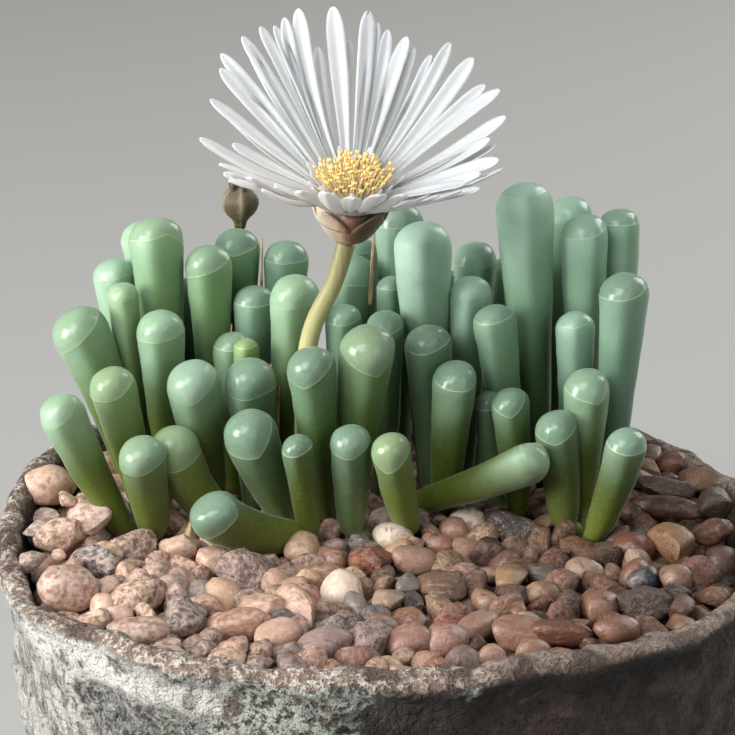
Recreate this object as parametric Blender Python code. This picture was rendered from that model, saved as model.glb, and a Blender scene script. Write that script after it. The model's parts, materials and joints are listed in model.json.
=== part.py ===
"""Potted baby toes: a clump of club-shaped succulent leaves with one open flower and one seed
capsule, in a hand-made bowl filled with soil and a top layer of rounded gravel.

Sizes are written in millimetres and scaled to metres as each mesh is made. +Z is up, the picture
side of the plant looks towards -Y, and the origin is under the middle of the pot, on the surface
that it stands on. Angles are in degrees, anticlockwise from +X.
"""

import math
import random

import bmesh
import bpy
from mathutils import Matrix, Vector

MM = 0.001
CLEARANCE = 0.35
SHARP_ANGLE = 40.0
GOLDEN_ANGLE = 137.5

# Pot: a turned bowl whose rim is uneven by hand
POT_SIDES = 40
POT_HEIGHT = 60.5
POT_TOP_RADIUS = 58.4
POT_WAIST_RADIUS = 52.0
POT_FOOT_RADIUS = 42.0
POT_SWELL = 0.8
WALL = 3.3
FLOOR = 6.0
FLOOR_ROUNDING = 5.0
OUTER_HEIGHTS = (12.0, 28.0, 45.0, 55.5)
INNER_HEIGHTS = (53.5, 30.0, 11.0)
# Corners of the foot and of the rim, as (outwards, up) from the foot radius and the top radius
FOOT_EDGE = ((0.0, 0.0), (1.5, 1.0), (6.5, 4.5))
RIM_EDGE = ((1.0, -1.8), (-0.2, 0.0), (-1.9, 0.0), (-3.3, -1.4))
RIM_DEPTH = 12.0
# Height of the uneven rim over POT_HEIGHT, every 22.5 degrees from +X
RIM_WAVES = (-0.8, 0.0, -0.4, 1.0, 0.3, 1.4, 2.2, 3.6, 0.0, -2.6, 0.1, 0.3, 1.3, 2.4, -0.4, -1.0)

# Filling: soil up to SOIL_TOP, then gravel whose stones stand out of a bed
FILLING_GAP = 0.55
SOIL_TOP = 49.0
SOIL_HEIGHTS = (11.4, 30.0, SOIL_TOP)
BED_TOP = 55.4
STONE_SIZE = 5.0
STONE_SPACING = 8.6
STONE_STRAY = 1.2
STONE_SEED = 7
CUTTER_MARGIN = 2.0
# Outline of the bare patch in the gravel that the plant stands in
PATCH = (
    (-45, 9), (-40, 3), (-33, 2), (-28, 4), (-25, -2), (-18, -6), (-10, -2), (-4, 3), (4, 3),
    (10, 8), (17, 11), (24, 8), (28, 1), (35, 1), (39, 9), (42, 20), (41, 31), (33, 39),
    (22, 44), (8, 47), (-8, 47), (-22, 45), (-33, 38), (-42, 28), (-46, 18),
)

# Leaves: rings along the body as (share of the way to the tip, share of the half width), then
# rings of the domed tip as (distance back in half widths, share of the half width)
LEAF_SIDES = 8
BODY_RINGS = ((0.0, 0.58), (0.42, 0.84))
TIP_RINGS = ((0.92, 1.0), (0.437, 0.86), (0.1265, 0.52))
FLAT_SIDE = 0.80
LEAF_LEVEL = 56.5
NECK_PLACE = 0.12
NECK_WIDTH = 0.36

# Root and crown under each head, as (radius, height over the crown level)
CROWN_LEVEL = 52.5
ROOT_RADIUS = 2.2
CROWN_OUTLINE = ((1.1, -9.0), (2.2, -6.0), (2.2, -2.9), (3.2, -0.5), (2.2, 1.4))

# Each head of leaves: where its root stands, then its leaves as
# (base x, base y, tip x, tip y, tip z, width, bend, direction of the flat side)
HEADS = {
    "toes_front_left": ((-37, 11), (
        (-40.5, 8, -49.8, 3, 79.5, 7.2, 0.10, -70),
        (-37, 14, -42.3, 11.5, 81, 7.3, 0.10, -70),
        (-35.5, 6, -37, 0.5, 73.2, 7.3, 0.10, -80),
    )),
    "toes_left": ((-37, 22), (
        (-39, 22, -48.6, 20, 87.4, 9.2, 0.15, -60),
        (-33.5, 22, -34.8, 19.8, 87.4, 7.7, 0.05, -80),
        (-38, 25, -40.8, 24.2, 90.5, 5.2, 0.05, -60),
    )),
    "toes_back_left": ((-34, 31), (
        (-33.7, 30, -35.8, 30.2, 99.3, 8.8, 0.05, -75),
        (-33, 34, -38.6, 38.5, 96.2, 7.3, 0.10, -60),
        (-38, 30, -43, 33.5, 91.5, 7.2, 0.10, -50),
    )),
    "toes_left_middle": ((-26, 15), (
        (-25.5, 13, -32.6, 7.2, 72.9, 7.6, 0.10, -65),
        (-27, 16, -29.6, 11.3, 81.8, 8.4, 0.05, -80),
    )),
    "toes_front_middle_left": ((-13, 8), (
        (-13, 4, -27, -6, 64.3, 8.1, -0.15, -130),
        (-14.6, 11, -21.3, 5, 76, 8.6, 0.05, -75),
        (-11.5, 4.5, -13.4, 1.5, 73.8, 5.1, 0.05, -90),
    )),
    "toes_middle_left": ((-22, 24), (
        (-20, 18.5, -20.7, 14, 81.3, 8.0, 0.05, -90),
        (-23.5, 23, -24.2, 21.5, 82.2, 6.0, 0.05, -80),
        (-20, 23, -19.8, 22, 81.2, 4.2, 0.05, -80),
        (-21, 28, -20.2, 30, 88.2, 6.9, 0.0, -80),
        (-26, 27.5, -27.6, 29.5, 95, 7.4, 0.0, -85),
    )),
    "toes_far_left": ((-22, 36), (
        (-23.5, 35, -23.3, 38, 95, 7.6, 0.0, -90),
        (-17, 35, -15.3, 37.5, 93.2, 7.3, 0.0, -85),
        (-16.5, 40, -15.5, 46.5, 86, 7.0, 0.10, 90),
        (-28, 37, -32.5, 43.5, 85, 7.4, 0.10, 120),
    )),
    "toes_by_stem": ((-10, 29), (
        (-15.5, 25, -13.6, 24.3, 91.7, 8.0, 0.0, -85),
        (-7.5, 27, -6.1, 26.5, 86.2, 5.9, 0.0, -80),
        (-7, 33, -4.6, 36, 91.2, 7.3, 0.0, -95),
    )),
    "toes_before_stem": ((-8, 13), (
        (-9.5, 12, -11.2, 7, 85.7, 7.6, 0.05, -85),
        (-5.3, 16.5, -1.9, 10, 88, 9.1, 0.05, -70),
    )),
    "toes_front_middle": ((-1, 8), (
        (-5, 7, -5.1, 3, 74.5, 6.5, 0.05, -85),
        (3.8, 7.5, 0.8, 1, 74, 6.3, 0.10, -60),
    )),
    "toes_middle_right": ((6, 18), (
        (3.5, 16.5, 24, 3, 70.3, 7.0, -0.05, 100),
        (9.5, 17.5, 11.4, 12.5, 81.4, 7.6, 0.05, -60),
        (8, 22, 6.7, 18.5, 85.3, 7.4, 0.05, -95),
    )),
    "toes_right_of_middle": ((19, 18), (
        (17.5, 19, 16.2, 17.3, 75, 4.9, 0.05, -95),
        (21, 15.5, 19.3, 13, 77, 6.1, 0.05, -90),
        (20.5, 21, 16.8, 20.2, 88.2, 6.9, 0.05, -100),
    )),
    "toes_middle": ((0, 27), (
        (0, 25, 0.2, 22, 86.5, 6.2, 0.05, -80),
        (1, 30, 1.2, 32.3, 89, 4.8, 0.05, -80),
    )),
    "toes_tall_middle": ((10, 29), (
        (7.5, 27.5, 6, 26.7, 99.6, 9.5, 0.0, -85),
        (12.5, 27, 13.8, 27.8, 90.4, 6.9, 0.05, -95),
        (14, 33.5, 14.8, 36.5, 93.3, 7.5, 0.05, -70),
    )),
    "toes_far_middle": ((0, 38), (
        (2.5, 36.5, 2.6, 40, 98.6, 8.0, 0.0, -90),
        (-3, 40, -4, 46.5, 91.5, 7.4, 0.05, -90),
        (8, 42, 10, 48, 85, 7.4, 0.10, 80),
    )),
    "toes_tall_right": ((23, 32), (
        (24.5, 28, 21.8, 27.5, 105.7, 9.7, 0.0, -85),
        (28, 36, 29.9, 39.5, 99.8, 8.0, 0.0, -80),
        (19.5, 38, 20, 45, 88, 7.2, 0.10, 90),
    )),
    "toes_right": ((34, 25), (
        (30, 22.5, 29.8, 22, 86.6, 6.4, 0.0, -95),
        (35.5, 21, 37.4, 19.5, 93.6, 8.0, 0.05, -100),
        (32, 28, 31.5, 28.8, 100.2, 8.2, 0.0, -75),
        (37, 30, 37.3, 35, 99.3, 7.3, 0.05, -80),
    )),
    "toes_front_right": ((31, 9), (
        (28, 9.5, 26.4, 9.6, 74.8, 7.2, 0.05, -80),
        (30.5, 13, 31.5, 13, 80.3, 7.6, 0.0, -80),
        (32.5, 5, 37.2, 1.5, 74.8, 6.3, 0.10, -110),
    )),
}

# Plain holes in the soil for the roots and stalks
HOLE_GAP = 0.7
HOLE_SIDES = 6
HOLE_BOTTOM = 39.0

# Flower stalk, and the foot and tilt of the axis that the cup, petals and stamens share
STALK_ROUTE = (
    (-12.6, 18.4, 40), (-12.6, 18.3, 58), (-11.8, 15, 83), (-7.6, 13.6, 94.5), (-5.8, 13.9, 100.7),
)
STALK_RADIUS = 1.35
STALK_SIDES = 8
STALK_STEPS = 12
FLOWER_FOOT = (-5.5, 13.9, 101.5)
FLOWER_TILT = 13.0
FLOWER_LEAN = 4.0

# Cup under the petals, hub in the cup and dome under the stamens, as (radius, height)
CUP_SIDES = 12
CUP_OUTLINE = ((1.65, 0), (2.9, 0.7), (4.8, 2.8), (6.3, 6.6), (5.8, 6.6), (4.7, 5.1), (1.5, 4.7))
HUB_SIDES = 16
HUB_OUTLINE = ((2.2, 5.6), (4.2, 5.6), (5.5, 6.9), (5.5, 8.5), (4.6, 8.8))
DOME_SIDES = 10
DOME_OUTLINE = ((4.0, 9.15), (4.4, 9.95), (2.8, 10.75), (1.2, 11.05))

# Rows of petals from the lowest up, as (count, rise in degrees, height of the root)
PETAL_ROWS = ((18, 25.0, 7.15), (18, 32.0, 7.85), (16, 39.0, 8.55))
ROW_SHIFT = 0.33
PETAL_ROOT = 5.0
PETAL_LENGTH = 21.3
LONGER_BEHIND = 4.5
RAISED_IN_FRONT = 7.0
PETAL_WIDTH = 2.2
PETAL_THICK = 0.7
# Sections of a petal, as (share of its length, share of its width)
PETAL_SECTIONS = ((-0.06, 0.40), (0.62, 1.0), (1.0, 0.40))
PETAL_SEED = 3

# Stamens: filaments that spread from the dome, thicker towards a pointed end
STAMEN_COUNT = 34
STAMEN_REACH = 4.0
STAMEN_FOOT = 9.75
STAMEN_LEAN = 43.0
STAMEN_RADII = (0.35, 0.5)
STAMEN_POINT = 0.6
STAMEN_SEED = 5

# Seed capsule on its own stalk behind the clump, as (radius, height) and ribs that stand out
CAPSULE_STALK_ROUTE = ((-22.6, 41.6, 40), (-22.6, 41.7, 58), (-23.0, 44.0, 93.4))
CAPSULE_STALK_RADIUS = 0.9
CAPSULE_STALK_SIDES = 6
CAPSULE_STALK_STEPS = 7
CAPSULE_FOOT = (-23.0, 44.0, 93.8)
CAPSULE_OUTLINE = ((1.0, 0), (1.25, 0.8), (2.3, 2.0), (2.9, 3.8), (2.5, 5.2), (1.2, 6.4))
CAPSULE_TIP = 6.8
CAPSULE_RIBS = 5
RIB_SIZE = 1.12


def clear_scene():
    for old in list(bpy.data.objects):
        bpy.data.objects.remove(old, do_unlink=True)


def material(name, colour, roughness):
    made = bpy.data.materials.new(name)
    made.use_nodes = True
    shader = made.node_tree.nodes["Principled BSDF"]
    shader.inputs["Base Color"].default_value = (*colour, 1.0)
    shader.inputs["Roughness"].default_value = roughness
    made.diffuse_color = (*colour, 1.0)
    return made


def solid(name, points, faces, finish):
    """A mesh object from points in millimetres, with its faces turned outwards."""
    mesh = bpy.data.meshes.new(name)
    mesh.from_pydata([Vector(point) * MM for point in points], [], faces)
    shape = bmesh.new()
    shape.from_mesh(mesh)
    bmesh.ops.recalc_face_normals(shape, faces=shape.faces)
    shape.to_mesh(mesh)
    shape.free()
    mesh.shade_smooth()
    mesh.set_sharp_from_angle(angle=math.radians(SHARP_ANGLE))
    mesh.materials.append(finish)
    made = bpy.data.objects.new(name, mesh)
    bpy.context.scene.collection.objects.link(made)
    return made


def new_group(name):
    group = bpy.data.collections.new(name)
    bpy.context.scene.collection.children.link(group)
    return group


def move_to(group, piece):
    bpy.context.scene.collection.objects.unlink(piece)
    group.objects.link(piece)


def apply_boolean(target, operation, group, solver):
    """Bakes one Boolean with all of a group into the target, then removes the group."""
    step = target.modifiers.new("step", "BOOLEAN")
    step.operation = operation
    step.solver = solver
    step.operand_type = "COLLECTION"
    step.collection = group
    bpy.context.view_layer.update()
    graph = bpy.context.evaluated_depsgraph_get()
    finish = target.data.materials[0]
    target.data = bpy.data.meshes.new_from_object(target.evaluated_get(graph))
    target.data.materials.clear()
    target.data.materials.append(finish)
    target.modifiers.remove(step)
    for helper in list(group.objects):
        bpy.data.objects.remove(helper, do_unlink=True)
    bpy.data.collections.remove(group)


def combine(target, operation, others, solver="EXACT"):
    """One Boolean of the target with every one of the other pieces."""
    group = new_group(target.name + "_pieces")
    for other in others:
        move_to(group, other)
    apply_boolean(target, operation, group, solver)


def loft(rings, end=None):
    """Points and faces of a tube through equal rings, its end closed by a point or a flat face."""
    count = len(rings[0])
    points = [point for ring in rings for point in ring]
    faces = [tuple(range(count))]
    for low in range(0, len(points) - count, count):
        for side in range(count):
            after = (side + 1) % count
            faces.append((low + side, low + after, low + count + after, low + count + side))
    last = range(len(points) - count, len(points))
    if end is None:
        faces.append(tuple(last))
        return points, faces
    faces += [(last[side], last[(side + 1) % count], len(points)) for side in range(count)]
    return points + [end], faces


def circle(radius, z, sides):
    angles = [2 * math.pi * side / sides for side in range(sides)]
    return [Vector((radius * math.cos(angle), radius * math.sin(angle), z)) for angle in angles]


def turned(outline, sides):
    """Rings of a turned body from its (radius, height) outline."""
    return [circle(radius, z, sides) for radius, z in outline]


def shifted(rings, move):
    return [[point + Vector(move) for point in ring] for ring in rings]


def placed(frame, rings):
    return [[frame @ point for point in ring] for ring in rings]


def between(p0, p1, p2, p3, share):
    """A smooth curve from p1 to p2, which p0 and p3 steer."""
    return 0.5 * (
        2 * p1
        + (p2 - p0) * share
        + (2 * p0 - 5 * p1 + 4 * p2 - p3) * share**2
        + (3 * p1 - p0 - 3 * p2 + p3) * share**3
    )


def wave_at(values, turn):
    """Smooth value at a share of a full turn, through values spaced evenly round it."""
    place = turn * len(values)
    first = math.floor(place)
    near = [values[(first + step) % len(values)] for step in (-1, 0, 1, 2)]
    return between(*near, place - first)


def curve_through(route, count):
    """Evenly stepped points on a smooth curve through the route."""
    knots = [Vector(point) for point in route]
    knots = [2 * knots[0] - knots[1]] + knots + [2 * knots[-1] - knots[-2]]
    spans = len(route) - 1
    found = []
    for step in range(count):
        place = step / (count - 1) * spans
        span = min(int(place), spans - 1)
        found.append(between(*knots[span:span + 4], place - span))
    return found


def ring_about(centre, along, facing, radius, sides, flat=1.0):
    """A ring across a stem or leaf, flattened on the side that faces the given way."""
    along = along.normalized()
    front = (facing - along * facing.dot(along)).normalized()
    across = along.cross(front)
    ring = []
    for side in range(sides):
        angle = 2 * math.pi * side / sides
        forward = min(math.cos(angle), flat)
        ring.append(centre + radius * (front * forward + across * math.sin(angle)))
    return ring


def tube_along(route, radius, sides, steps):
    points = curve_through(route, steps)
    rings = []
    for step, point in enumerate(points):
        before = points[max(step - 1, 0)]
        after = points[min(step + 1, steps - 1)]
        rings.append(ring_about(point, after - before, Vector((1, 0, 0)), radius, sides))
    return loft(rings)


def inner_radius(z):
    """Inside radius of the pot's wall at a height."""
    share = max(0.0, (z - FLOOR) / (POT_HEIGHT - FLOOR))
    return POT_WAIST_RADIUS + (POT_TOP_RADIUS - POT_WAIST_RADIUS) * share**POT_SWELL - WALL


def pot_outline():
    """Outline from the middle of the foot, up the outside, over the rim and down to the floor."""
    foot = [(POT_FOOT_RADIUS + out, up) for out, up in FOOT_EDGE]
    outside = [(inner_radius(z) + WALL, z) for z in OUTER_HEIGHTS]
    rim = [(POT_TOP_RADIUS + out, POT_HEIGHT + up) for out, up in RIM_EDGE]
    inside = [(inner_radius(z), z) for z in INNER_HEIGHTS]
    return foot + outside + rim + inside + [(inner_radius(FLOOR) - FLOOR_ROUNDING, FLOOR)]


def build_pot():
    rings = turned(pot_outline(), POT_SIDES)
    for ring in rings:
        lift = max(0.0, (ring[0].z - POT_HEIGHT + RIM_DEPTH) / RIM_DEPTH) ** 2
        for side, point in enumerate(ring):
            point.z += lift * wave_at(RIM_WAVES, side / POT_SIDES)
    solid("pot", *loft(rings), material("speckled_glaze", (0.16, 0.14, 0.11), 0.6))


def filling_rings(heights):
    """Rings that stay just clear of the pot's wall."""
    return turned([(inner_radius(z) - FILLING_GAP, z) for z in heights], POT_SIDES)


def build_soil():
    lowest = inner_radius(FLOOR) - FLOOR_ROUNDING - CLEARANCE
    rings = [circle(lowest, FLOOR + CLEARANCE, POT_SIDES)] + filling_rings(SOIL_HEIGHTS)
    finish = material("soil", (0.05, 0.035, 0.025), 0.95)
    soil = solid("soil", *loft(rings), finish)
    stands = [(root, ROOT_RADIUS) for root, _ in HEADS.values()]
    stands.append((STALK_ROUTE[0][:2], STALK_RADIUS))
    stands.append((CAPSULE_STALK_ROUTE[0][:2], CAPSULE_STALK_RADIUS))
    holes = []
    for place, radius in stands:
        wide = radius + HOLE_GAP
        rings = turned(((wide, HOLE_BOTTOM), (wide, SOIL_TOP + CUTTER_MARGIN)), HOLE_SIDES)
        holes.append(solid("hole", *loft(shifted(rings, (*place, 0))), finish))
    combine(soil, "DIFFERENCE", holes)


def patch_outline():
    """The bare patch as a smooth closed curve through its hand-set points."""
    corners = [Vector((x, y, 0)) for x, y in PATCH]
    steps = 2 * len(corners)
    return [wave_at(corners, step / steps) for step in range(steps)]


def depth_inside(outline, point):
    """How far a point lies inside the outline, or below zero outside it."""
    crossings = 0
    nearest = math.inf
    for here, there in zip(outline, outline[1:] + outline[:1]):
        step = there - here
        share = max(0.0, min(1.0, (point - here).dot(step) / step.length_squared))
        nearest = min(nearest, (here + step * share - point).length)
        if (here.y > point.y) != (there.y > point.y):
            crossings += point.x < here.x + (point.y - here.y) / step.y * step.x
    return nearest if crossings % 2 else -nearest


def stone_places(outline, draw):
    """Staggered rows of stones over the gravel, leaving out those well inside the bare patch."""
    edge = inner_radius(BED_TOP)
    row_step = STONE_SPACING * 0.86
    rows = int(2 * edge / row_step) + 1
    columns = int(edge / STONE_SPACING) + 1
    places = []
    for row in range(rows):
        for column in range(-columns, columns + 1):
            x = (column + 0.5 * (row % 2)) * STONE_SPACING + draw.uniform(-STONE_STRAY, STONE_STRAY)
            y = row * row_step - edge + draw.uniform(-STONE_STRAY, STONE_STRAY)
            size = STONE_SIZE * draw.uniform(0.85, 1.1)
            spot = Vector((x, y, 0))
            if spot.length < edge - 0.3 * size and depth_inside(outline, spot) < 0.2 * size:
                places.append((spot, size))
    return places


def stone(spot, size, draw, finish):
    """One rounded stone, half sunk in the bed."""
    shape = bmesh.new()
    bmesh.ops.create_icosphere(shape, subdivisions=1, radius=1.0)
    turn = Matrix.Rotation(draw.uniform(0, 2 * math.pi), 3, "Z")
    tip_over = Matrix.Rotation(draw.uniform(-0.3, 0.3), 3, "X")
    scale = Matrix.Diagonal((size * 1.1, size * draw.uniform(0.8, 0.95), size * 0.62))
    centre = spot + Vector((0, 0, BED_TOP + draw.uniform(-0.6, 0.0)))
    points = [centre + turn @ tip_over @ (scale @ vertex.co) for vertex in shape.verts]
    faces = [tuple(vertex.index for vertex in face.verts) for face in shape.faces]
    shape.free()
    return solid("stone", points, faces, finish)


def build_gravel():
    """A bed with stones standing out of it, trimmed to the pot's wall and cut round the plant."""
    outline = patch_outline()
    low = SOIL_TOP + CLEARANCE
    high = BED_TOP + STONE_SIZE
    finish = material("gravel", (0.36, 0.22, 0.16), 0.6)
    gravel = solid("gravel", *loft(filling_rings((low, BED_TOP))), finish)
    draw = random.Random(STONE_SEED)
    places = stone_places(outline, draw)
    combine(gravel, "UNION", [stone(spot, size, draw, finish) for spot, size in places])
    wall = solid("wall", *loft(filling_rings((low - CUTTER_MARGIN, high))), finish)
    combine(gravel, "INTERSECT", [wall])
    rings = [shifted([outline], (0, 0, z))[0] for z in (low - CUTTER_MARGIN, high)]
    combine(gravel, "DIFFERENCE", [solid("patch", *loft(rings), finish)])


def leaf_axis(leaf):
    """Base, control point and tip of the leaf's curved axis."""
    base_x, base_y, tip_x, tip_y, tip_z, _, bend, _ = leaf
    base = Vector((base_x, base_y, LEAF_LEVEL))
    tip = Vector((tip_x, tip_y, tip_z))
    middle = base.lerp(tip, 0.5 - bend)
    middle.z = base.z + (tip.z - base.z) * (0.5 + 0.5 * bend)
    return base, middle, tip


def leaf_solid(root, leaf, finish):
    """A leaf from the crown of its head, narrow at its foot and domed at its tip."""
    half = leaf[5] / 2
    turn = math.radians(leaf[7])
    facing = Vector((math.cos(turn), math.sin(turn), 0))
    base, middle, tip = leaf_axis(leaf)
    length = (tip - base).length
    stations = BODY_RINGS + tuple((1.0 - back * half / length, size) for back, size in TIP_RINGS)
    crown = Vector((*root, CROWN_LEVEL))
    neck = crown.lerp(base, NECK_PLACE)
    rings = [ring_about(neck, base - crown, facing, half * NECK_WIDTH, LEAF_SIDES)]
    for share, size in stations:
        point = base * (1 - share) ** 2 + middle * 2 * share * (1 - share) + tip * share**2
        along = (middle - base) * (1 - share) + (tip - middle) * share
        rings.append(ring_about(point, along, facing, half * size, LEAF_SIDES, FLAT_SIDE))
    return solid("leaf", *loft(rings, end=tip), finish)


def build_head(name, root, leaves, finish):
    """One head: a root in its hole in the soil, a small crown and the leaves that grow from it."""
    rings = shifted(turned(CROWN_OUTLINE, LEAF_SIDES), (*root, CROWN_LEVEL))
    head = solid(name, *loft(rings), finish)
    # The other solver leaves one head with two of its leaves touching along an edge
    combine(head, "UNION", [leaf_solid(root, leaf, finish) for leaf in leaves], "MANIFOLD")


def flower_frame():
    """Place and tilt of the flower: its axis leans towards the picture side and a little to +X."""
    tilt = Matrix.Rotation(math.radians(FLOWER_TILT), 4, "X")
    lean = Matrix.Rotation(math.radians(FLOWER_LEAN), 4, "Y")
    return Matrix.Translation(FLOWER_FOOT) @ lean @ tilt


def build_cup():
    """Fleshy cup under the petals, hollowed on top for them."""
    rings = placed(flower_frame(), turned(CUP_OUTLINE, CUP_SIDES))
    solid("calyx", *loft(rings), material("calyx", (0.30, 0.16, 0.10), 0.55))


def petal(turn, rise, root_height, length, draw, finish):
    """A thin blade that widens past its middle and narrows to a blunt tip."""
    outward = Vector((math.cos(turn), math.sin(turn), 0))
    across = Vector((-math.sin(turn), math.cos(turn), 0))
    along = outward * math.cos(rise) + Vector((0, 0, math.sin(rise)))
    up = along.cross(across)
    root = outward * PETAL_ROOT + Vector((0, 0, root_height))
    half = across * PETAL_WIDTH * draw.uniform(0.85, 1.1) / 2
    thick = up * PETAL_THICK / 2
    sag = draw.uniform(-1.2, 0.6)
    rings = []
    for share, spread in PETAL_SECTIONS:
        centre = root + along * length * share + up * sag * share**2
        side = half * spread
        low, high = centre - thick, centre + thick
        rings.append([low - side, low + side, high + side, high - side])
    return solid("petal", *loft(placed(flower_frame(), rings)), finish)


def build_petals():
    """Three rows of petals on a hub in the cup, longest at the back."""
    draw = random.Random(PETAL_SEED)
    finish = material("petal", (0.92, 0.91, 0.90), 0.5)
    petals = solid("petals", *loft(placed(flower_frame(), turned(HUB_OUTLINE, HUB_SIDES))), finish)
    blades = []
    for row, (count, rise, root_height) in enumerate(PETAL_ROWS):
        for place in range(count):
            share = (place + ROW_SHIFT * row + draw.uniform(-0.12, 0.12)) / count
            turn = 2 * math.pi * share
            behind = math.sin(turn)
            raised = rise + RAISED_IN_FRONT * (1.0 - behind) / 2 + draw.uniform(-2, 2)
            length = PETAL_LENGTH + LONGER_BEHIND * behind + draw.uniform(-1, 1)
            blades.append(petal(turn, math.radians(raised), root_height, length, draw, finish))
    combine(petals, "UNION", blades)


def build_stamens():
    """A low golden dome with filaments all over it."""
    draw = random.Random(STAMEN_SEED)
    frame = flower_frame()
    finish = material("stamen", (0.85, 0.52, 0.08), 0.6)
    dome = solid("stamens", *loft(placed(frame, turned(DOME_OUTLINE, DOME_SIDES))), finish)
    facing = Vector((1, 0, 0.1))
    needles = []
    for number in range(STAMEN_COUNT):
        share = math.sqrt((number + 0.5) / STAMEN_COUNT)
        angle = math.radians(GOLDEN_ANGLE) * number
        outward = Vector((math.cos(angle), math.sin(angle), 0))
        lean = math.radians(STAMEN_LEAN) * share
        along = outward * math.sin(lean) + Vector((0, 0, math.cos(lean)))
        foot = outward * STAMEN_REACH * share + Vector((0, 0, STAMEN_FOOT))
        tip = foot + along * draw.uniform(2.6, 3.4)
        ends = zip((foot, tip), STAMEN_RADII)
        rings = [ring_about(end, along, facing, radius, 3) for end, radius in ends]
        shape = loft(placed(frame, rings), end=frame @ (tip + along * STAMEN_POINT))
        needles.append(solid("stamen", *shape, finish))
    combine(dome, "UNION", needles)


def build_capsule():
    """Ribbed capsule, widest above its middle, drawn in to a short neck."""
    rings = turned(CAPSULE_OUTLINE, 2 * CAPSULE_RIBS)
    for ring in rings:
        for point in ring[::2]:
            point.x *= RIB_SIZE
            point.y *= RIB_SIZE
    tip = Vector(CAPSULE_FOOT) + Vector((0, 0, CAPSULE_TIP))
    shape = loft(shifted(rings, CAPSULE_FOOT), end=tip)
    solid("seed_capsule", *shape, material("seed_capsule", (0.20, 0.15, 0.08), 0.6))


def build_stalks():
    finish = material("stalk", (0.50, 0.55, 0.28), 0.5)
    flower = tube_along(STALK_ROUTE, STALK_RADIUS, STALK_SIDES, STALK_STEPS)
    solid("flower_stalk", *flower, finish)
    capsule = tube_along(
        CAPSULE_STALK_ROUTE, CAPSULE_STALK_RADIUS, CAPSULE_STALK_SIDES, CAPSULE_STALK_STEPS
    )
    solid("capsule_stalk", *capsule, finish)


def main():
    clear_scene()
    build_pot()
    build_soil()
    build_gravel()
    leaf_finish = material("leaf", (0.20, 0.38, 0.22), 0.4)
    for name, (root, leaves) in HEADS.items():
        build_head(name, root, leaves, leaf_finish)
    build_stalks()
    build_cup()
    build_petals()
    build_stamens()
    build_capsule()


main()
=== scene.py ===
"""Looks of the potted baby toes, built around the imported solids.

Sizes are in millimetres in the tables and functions. They are in metres in the settings and the
lights, and become metres as each mesh is made. +Z is up and the picture side looks towards -Y.
Turns run anticlockwise, and the tables give them in degrees.
"""

import json
import math
import random
from collections import namedtuple

import bmesh
import bpy
import numpy as np
from bpy.props import FloatProperty, FloatVectorProperty, IntProperty, PointerProperty
from mathutils import Matrix, Vector, noise

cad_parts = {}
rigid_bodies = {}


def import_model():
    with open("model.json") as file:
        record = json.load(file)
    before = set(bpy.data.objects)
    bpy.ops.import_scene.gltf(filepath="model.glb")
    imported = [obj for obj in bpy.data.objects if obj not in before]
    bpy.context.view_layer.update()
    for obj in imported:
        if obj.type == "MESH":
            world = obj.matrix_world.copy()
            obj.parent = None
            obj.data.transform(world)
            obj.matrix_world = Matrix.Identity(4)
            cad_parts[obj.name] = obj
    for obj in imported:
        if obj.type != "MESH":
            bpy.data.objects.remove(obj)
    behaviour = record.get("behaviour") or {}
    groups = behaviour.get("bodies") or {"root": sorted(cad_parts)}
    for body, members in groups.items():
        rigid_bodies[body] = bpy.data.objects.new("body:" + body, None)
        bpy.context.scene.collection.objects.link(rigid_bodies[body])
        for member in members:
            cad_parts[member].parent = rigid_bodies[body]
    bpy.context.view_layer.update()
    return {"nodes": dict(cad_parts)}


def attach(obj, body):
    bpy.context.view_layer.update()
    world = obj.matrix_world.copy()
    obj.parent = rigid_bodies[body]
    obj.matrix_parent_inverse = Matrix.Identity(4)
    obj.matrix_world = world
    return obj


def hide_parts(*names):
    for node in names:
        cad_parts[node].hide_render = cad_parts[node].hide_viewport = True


bl_info = {
    "name": "Potted Baby Toes",
    "version": (1, 0, 0),
    "blender": (4, 5, 0),
    "location": "3D View > Sidebar > Baby Toes",
    "description": "Dresses the solids of a potted baby toes plant with finished surfaces",
    "category": "Add Mesh",
}

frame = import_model()

MM = 0.001
GOLDEN_ANGLE = 137.5

# Photograph's camera: the pixel frame, the view's slope, distance, lens and the point looked at
PHOTO_PIXELS = 735
VIEW_SLOPE = 20.0
VIEW_DISTANCE = 550.0
LENS = 180.0
SENSOR = 36.0
VIEW_TARGET = (-2.6, 0.0, 85.5)

# Bowl: the same turned outline and uneven rim as the solid's. The foot's curve is (out, up) from
# the foot's edge, and the rim's waves are its lift at even turns
BOWL_HEIGHT = 60.5
BOWL_TOP_RADIUS = 58.4
BOWL_WAIST_RADIUS = 52.0
BOWL_FOOT_RADIUS = 42.0
BOWL_SWELL = 0.8
WALL = 3.3
FLOOR_LEVEL = 6.0
RIM_DEPTH = 12.0
FOOT_CURVE = ((0.0, 0.0), (0.6, 0.15), (1.5, 1.0), (3.4, 2.5), (6.5, 4.5), (8.2, 7.0))
WALL_START = 9.5
WALL_END = BOWL_HEIGHT - 3.4
LIP_INSET = 1.25
LIP_HALF_WIDTH = 1.95
LIP_HALF_HEIGHT = 1.9
RIM_WAVES = (-0.8, 0.0, -0.4, 1.0, 0.3, 1.4, 2.2, 3.6, 0.0, -2.6, 0.1, 0.3, 1.3, 2.4, -0.4, -1.0)

# Gravel: its levels, and where its surface rises, from front to back and outwards from the middle
GRAVEL_FLOOR = 50.5
GRAVEL_MIDDLE = 57.2
GRAVEL_EDGE = 59.4
BACK_RISE = (-14, 14)
WALL_RISE = (32, 52)
TOP_LAYER = 4.6
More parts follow.
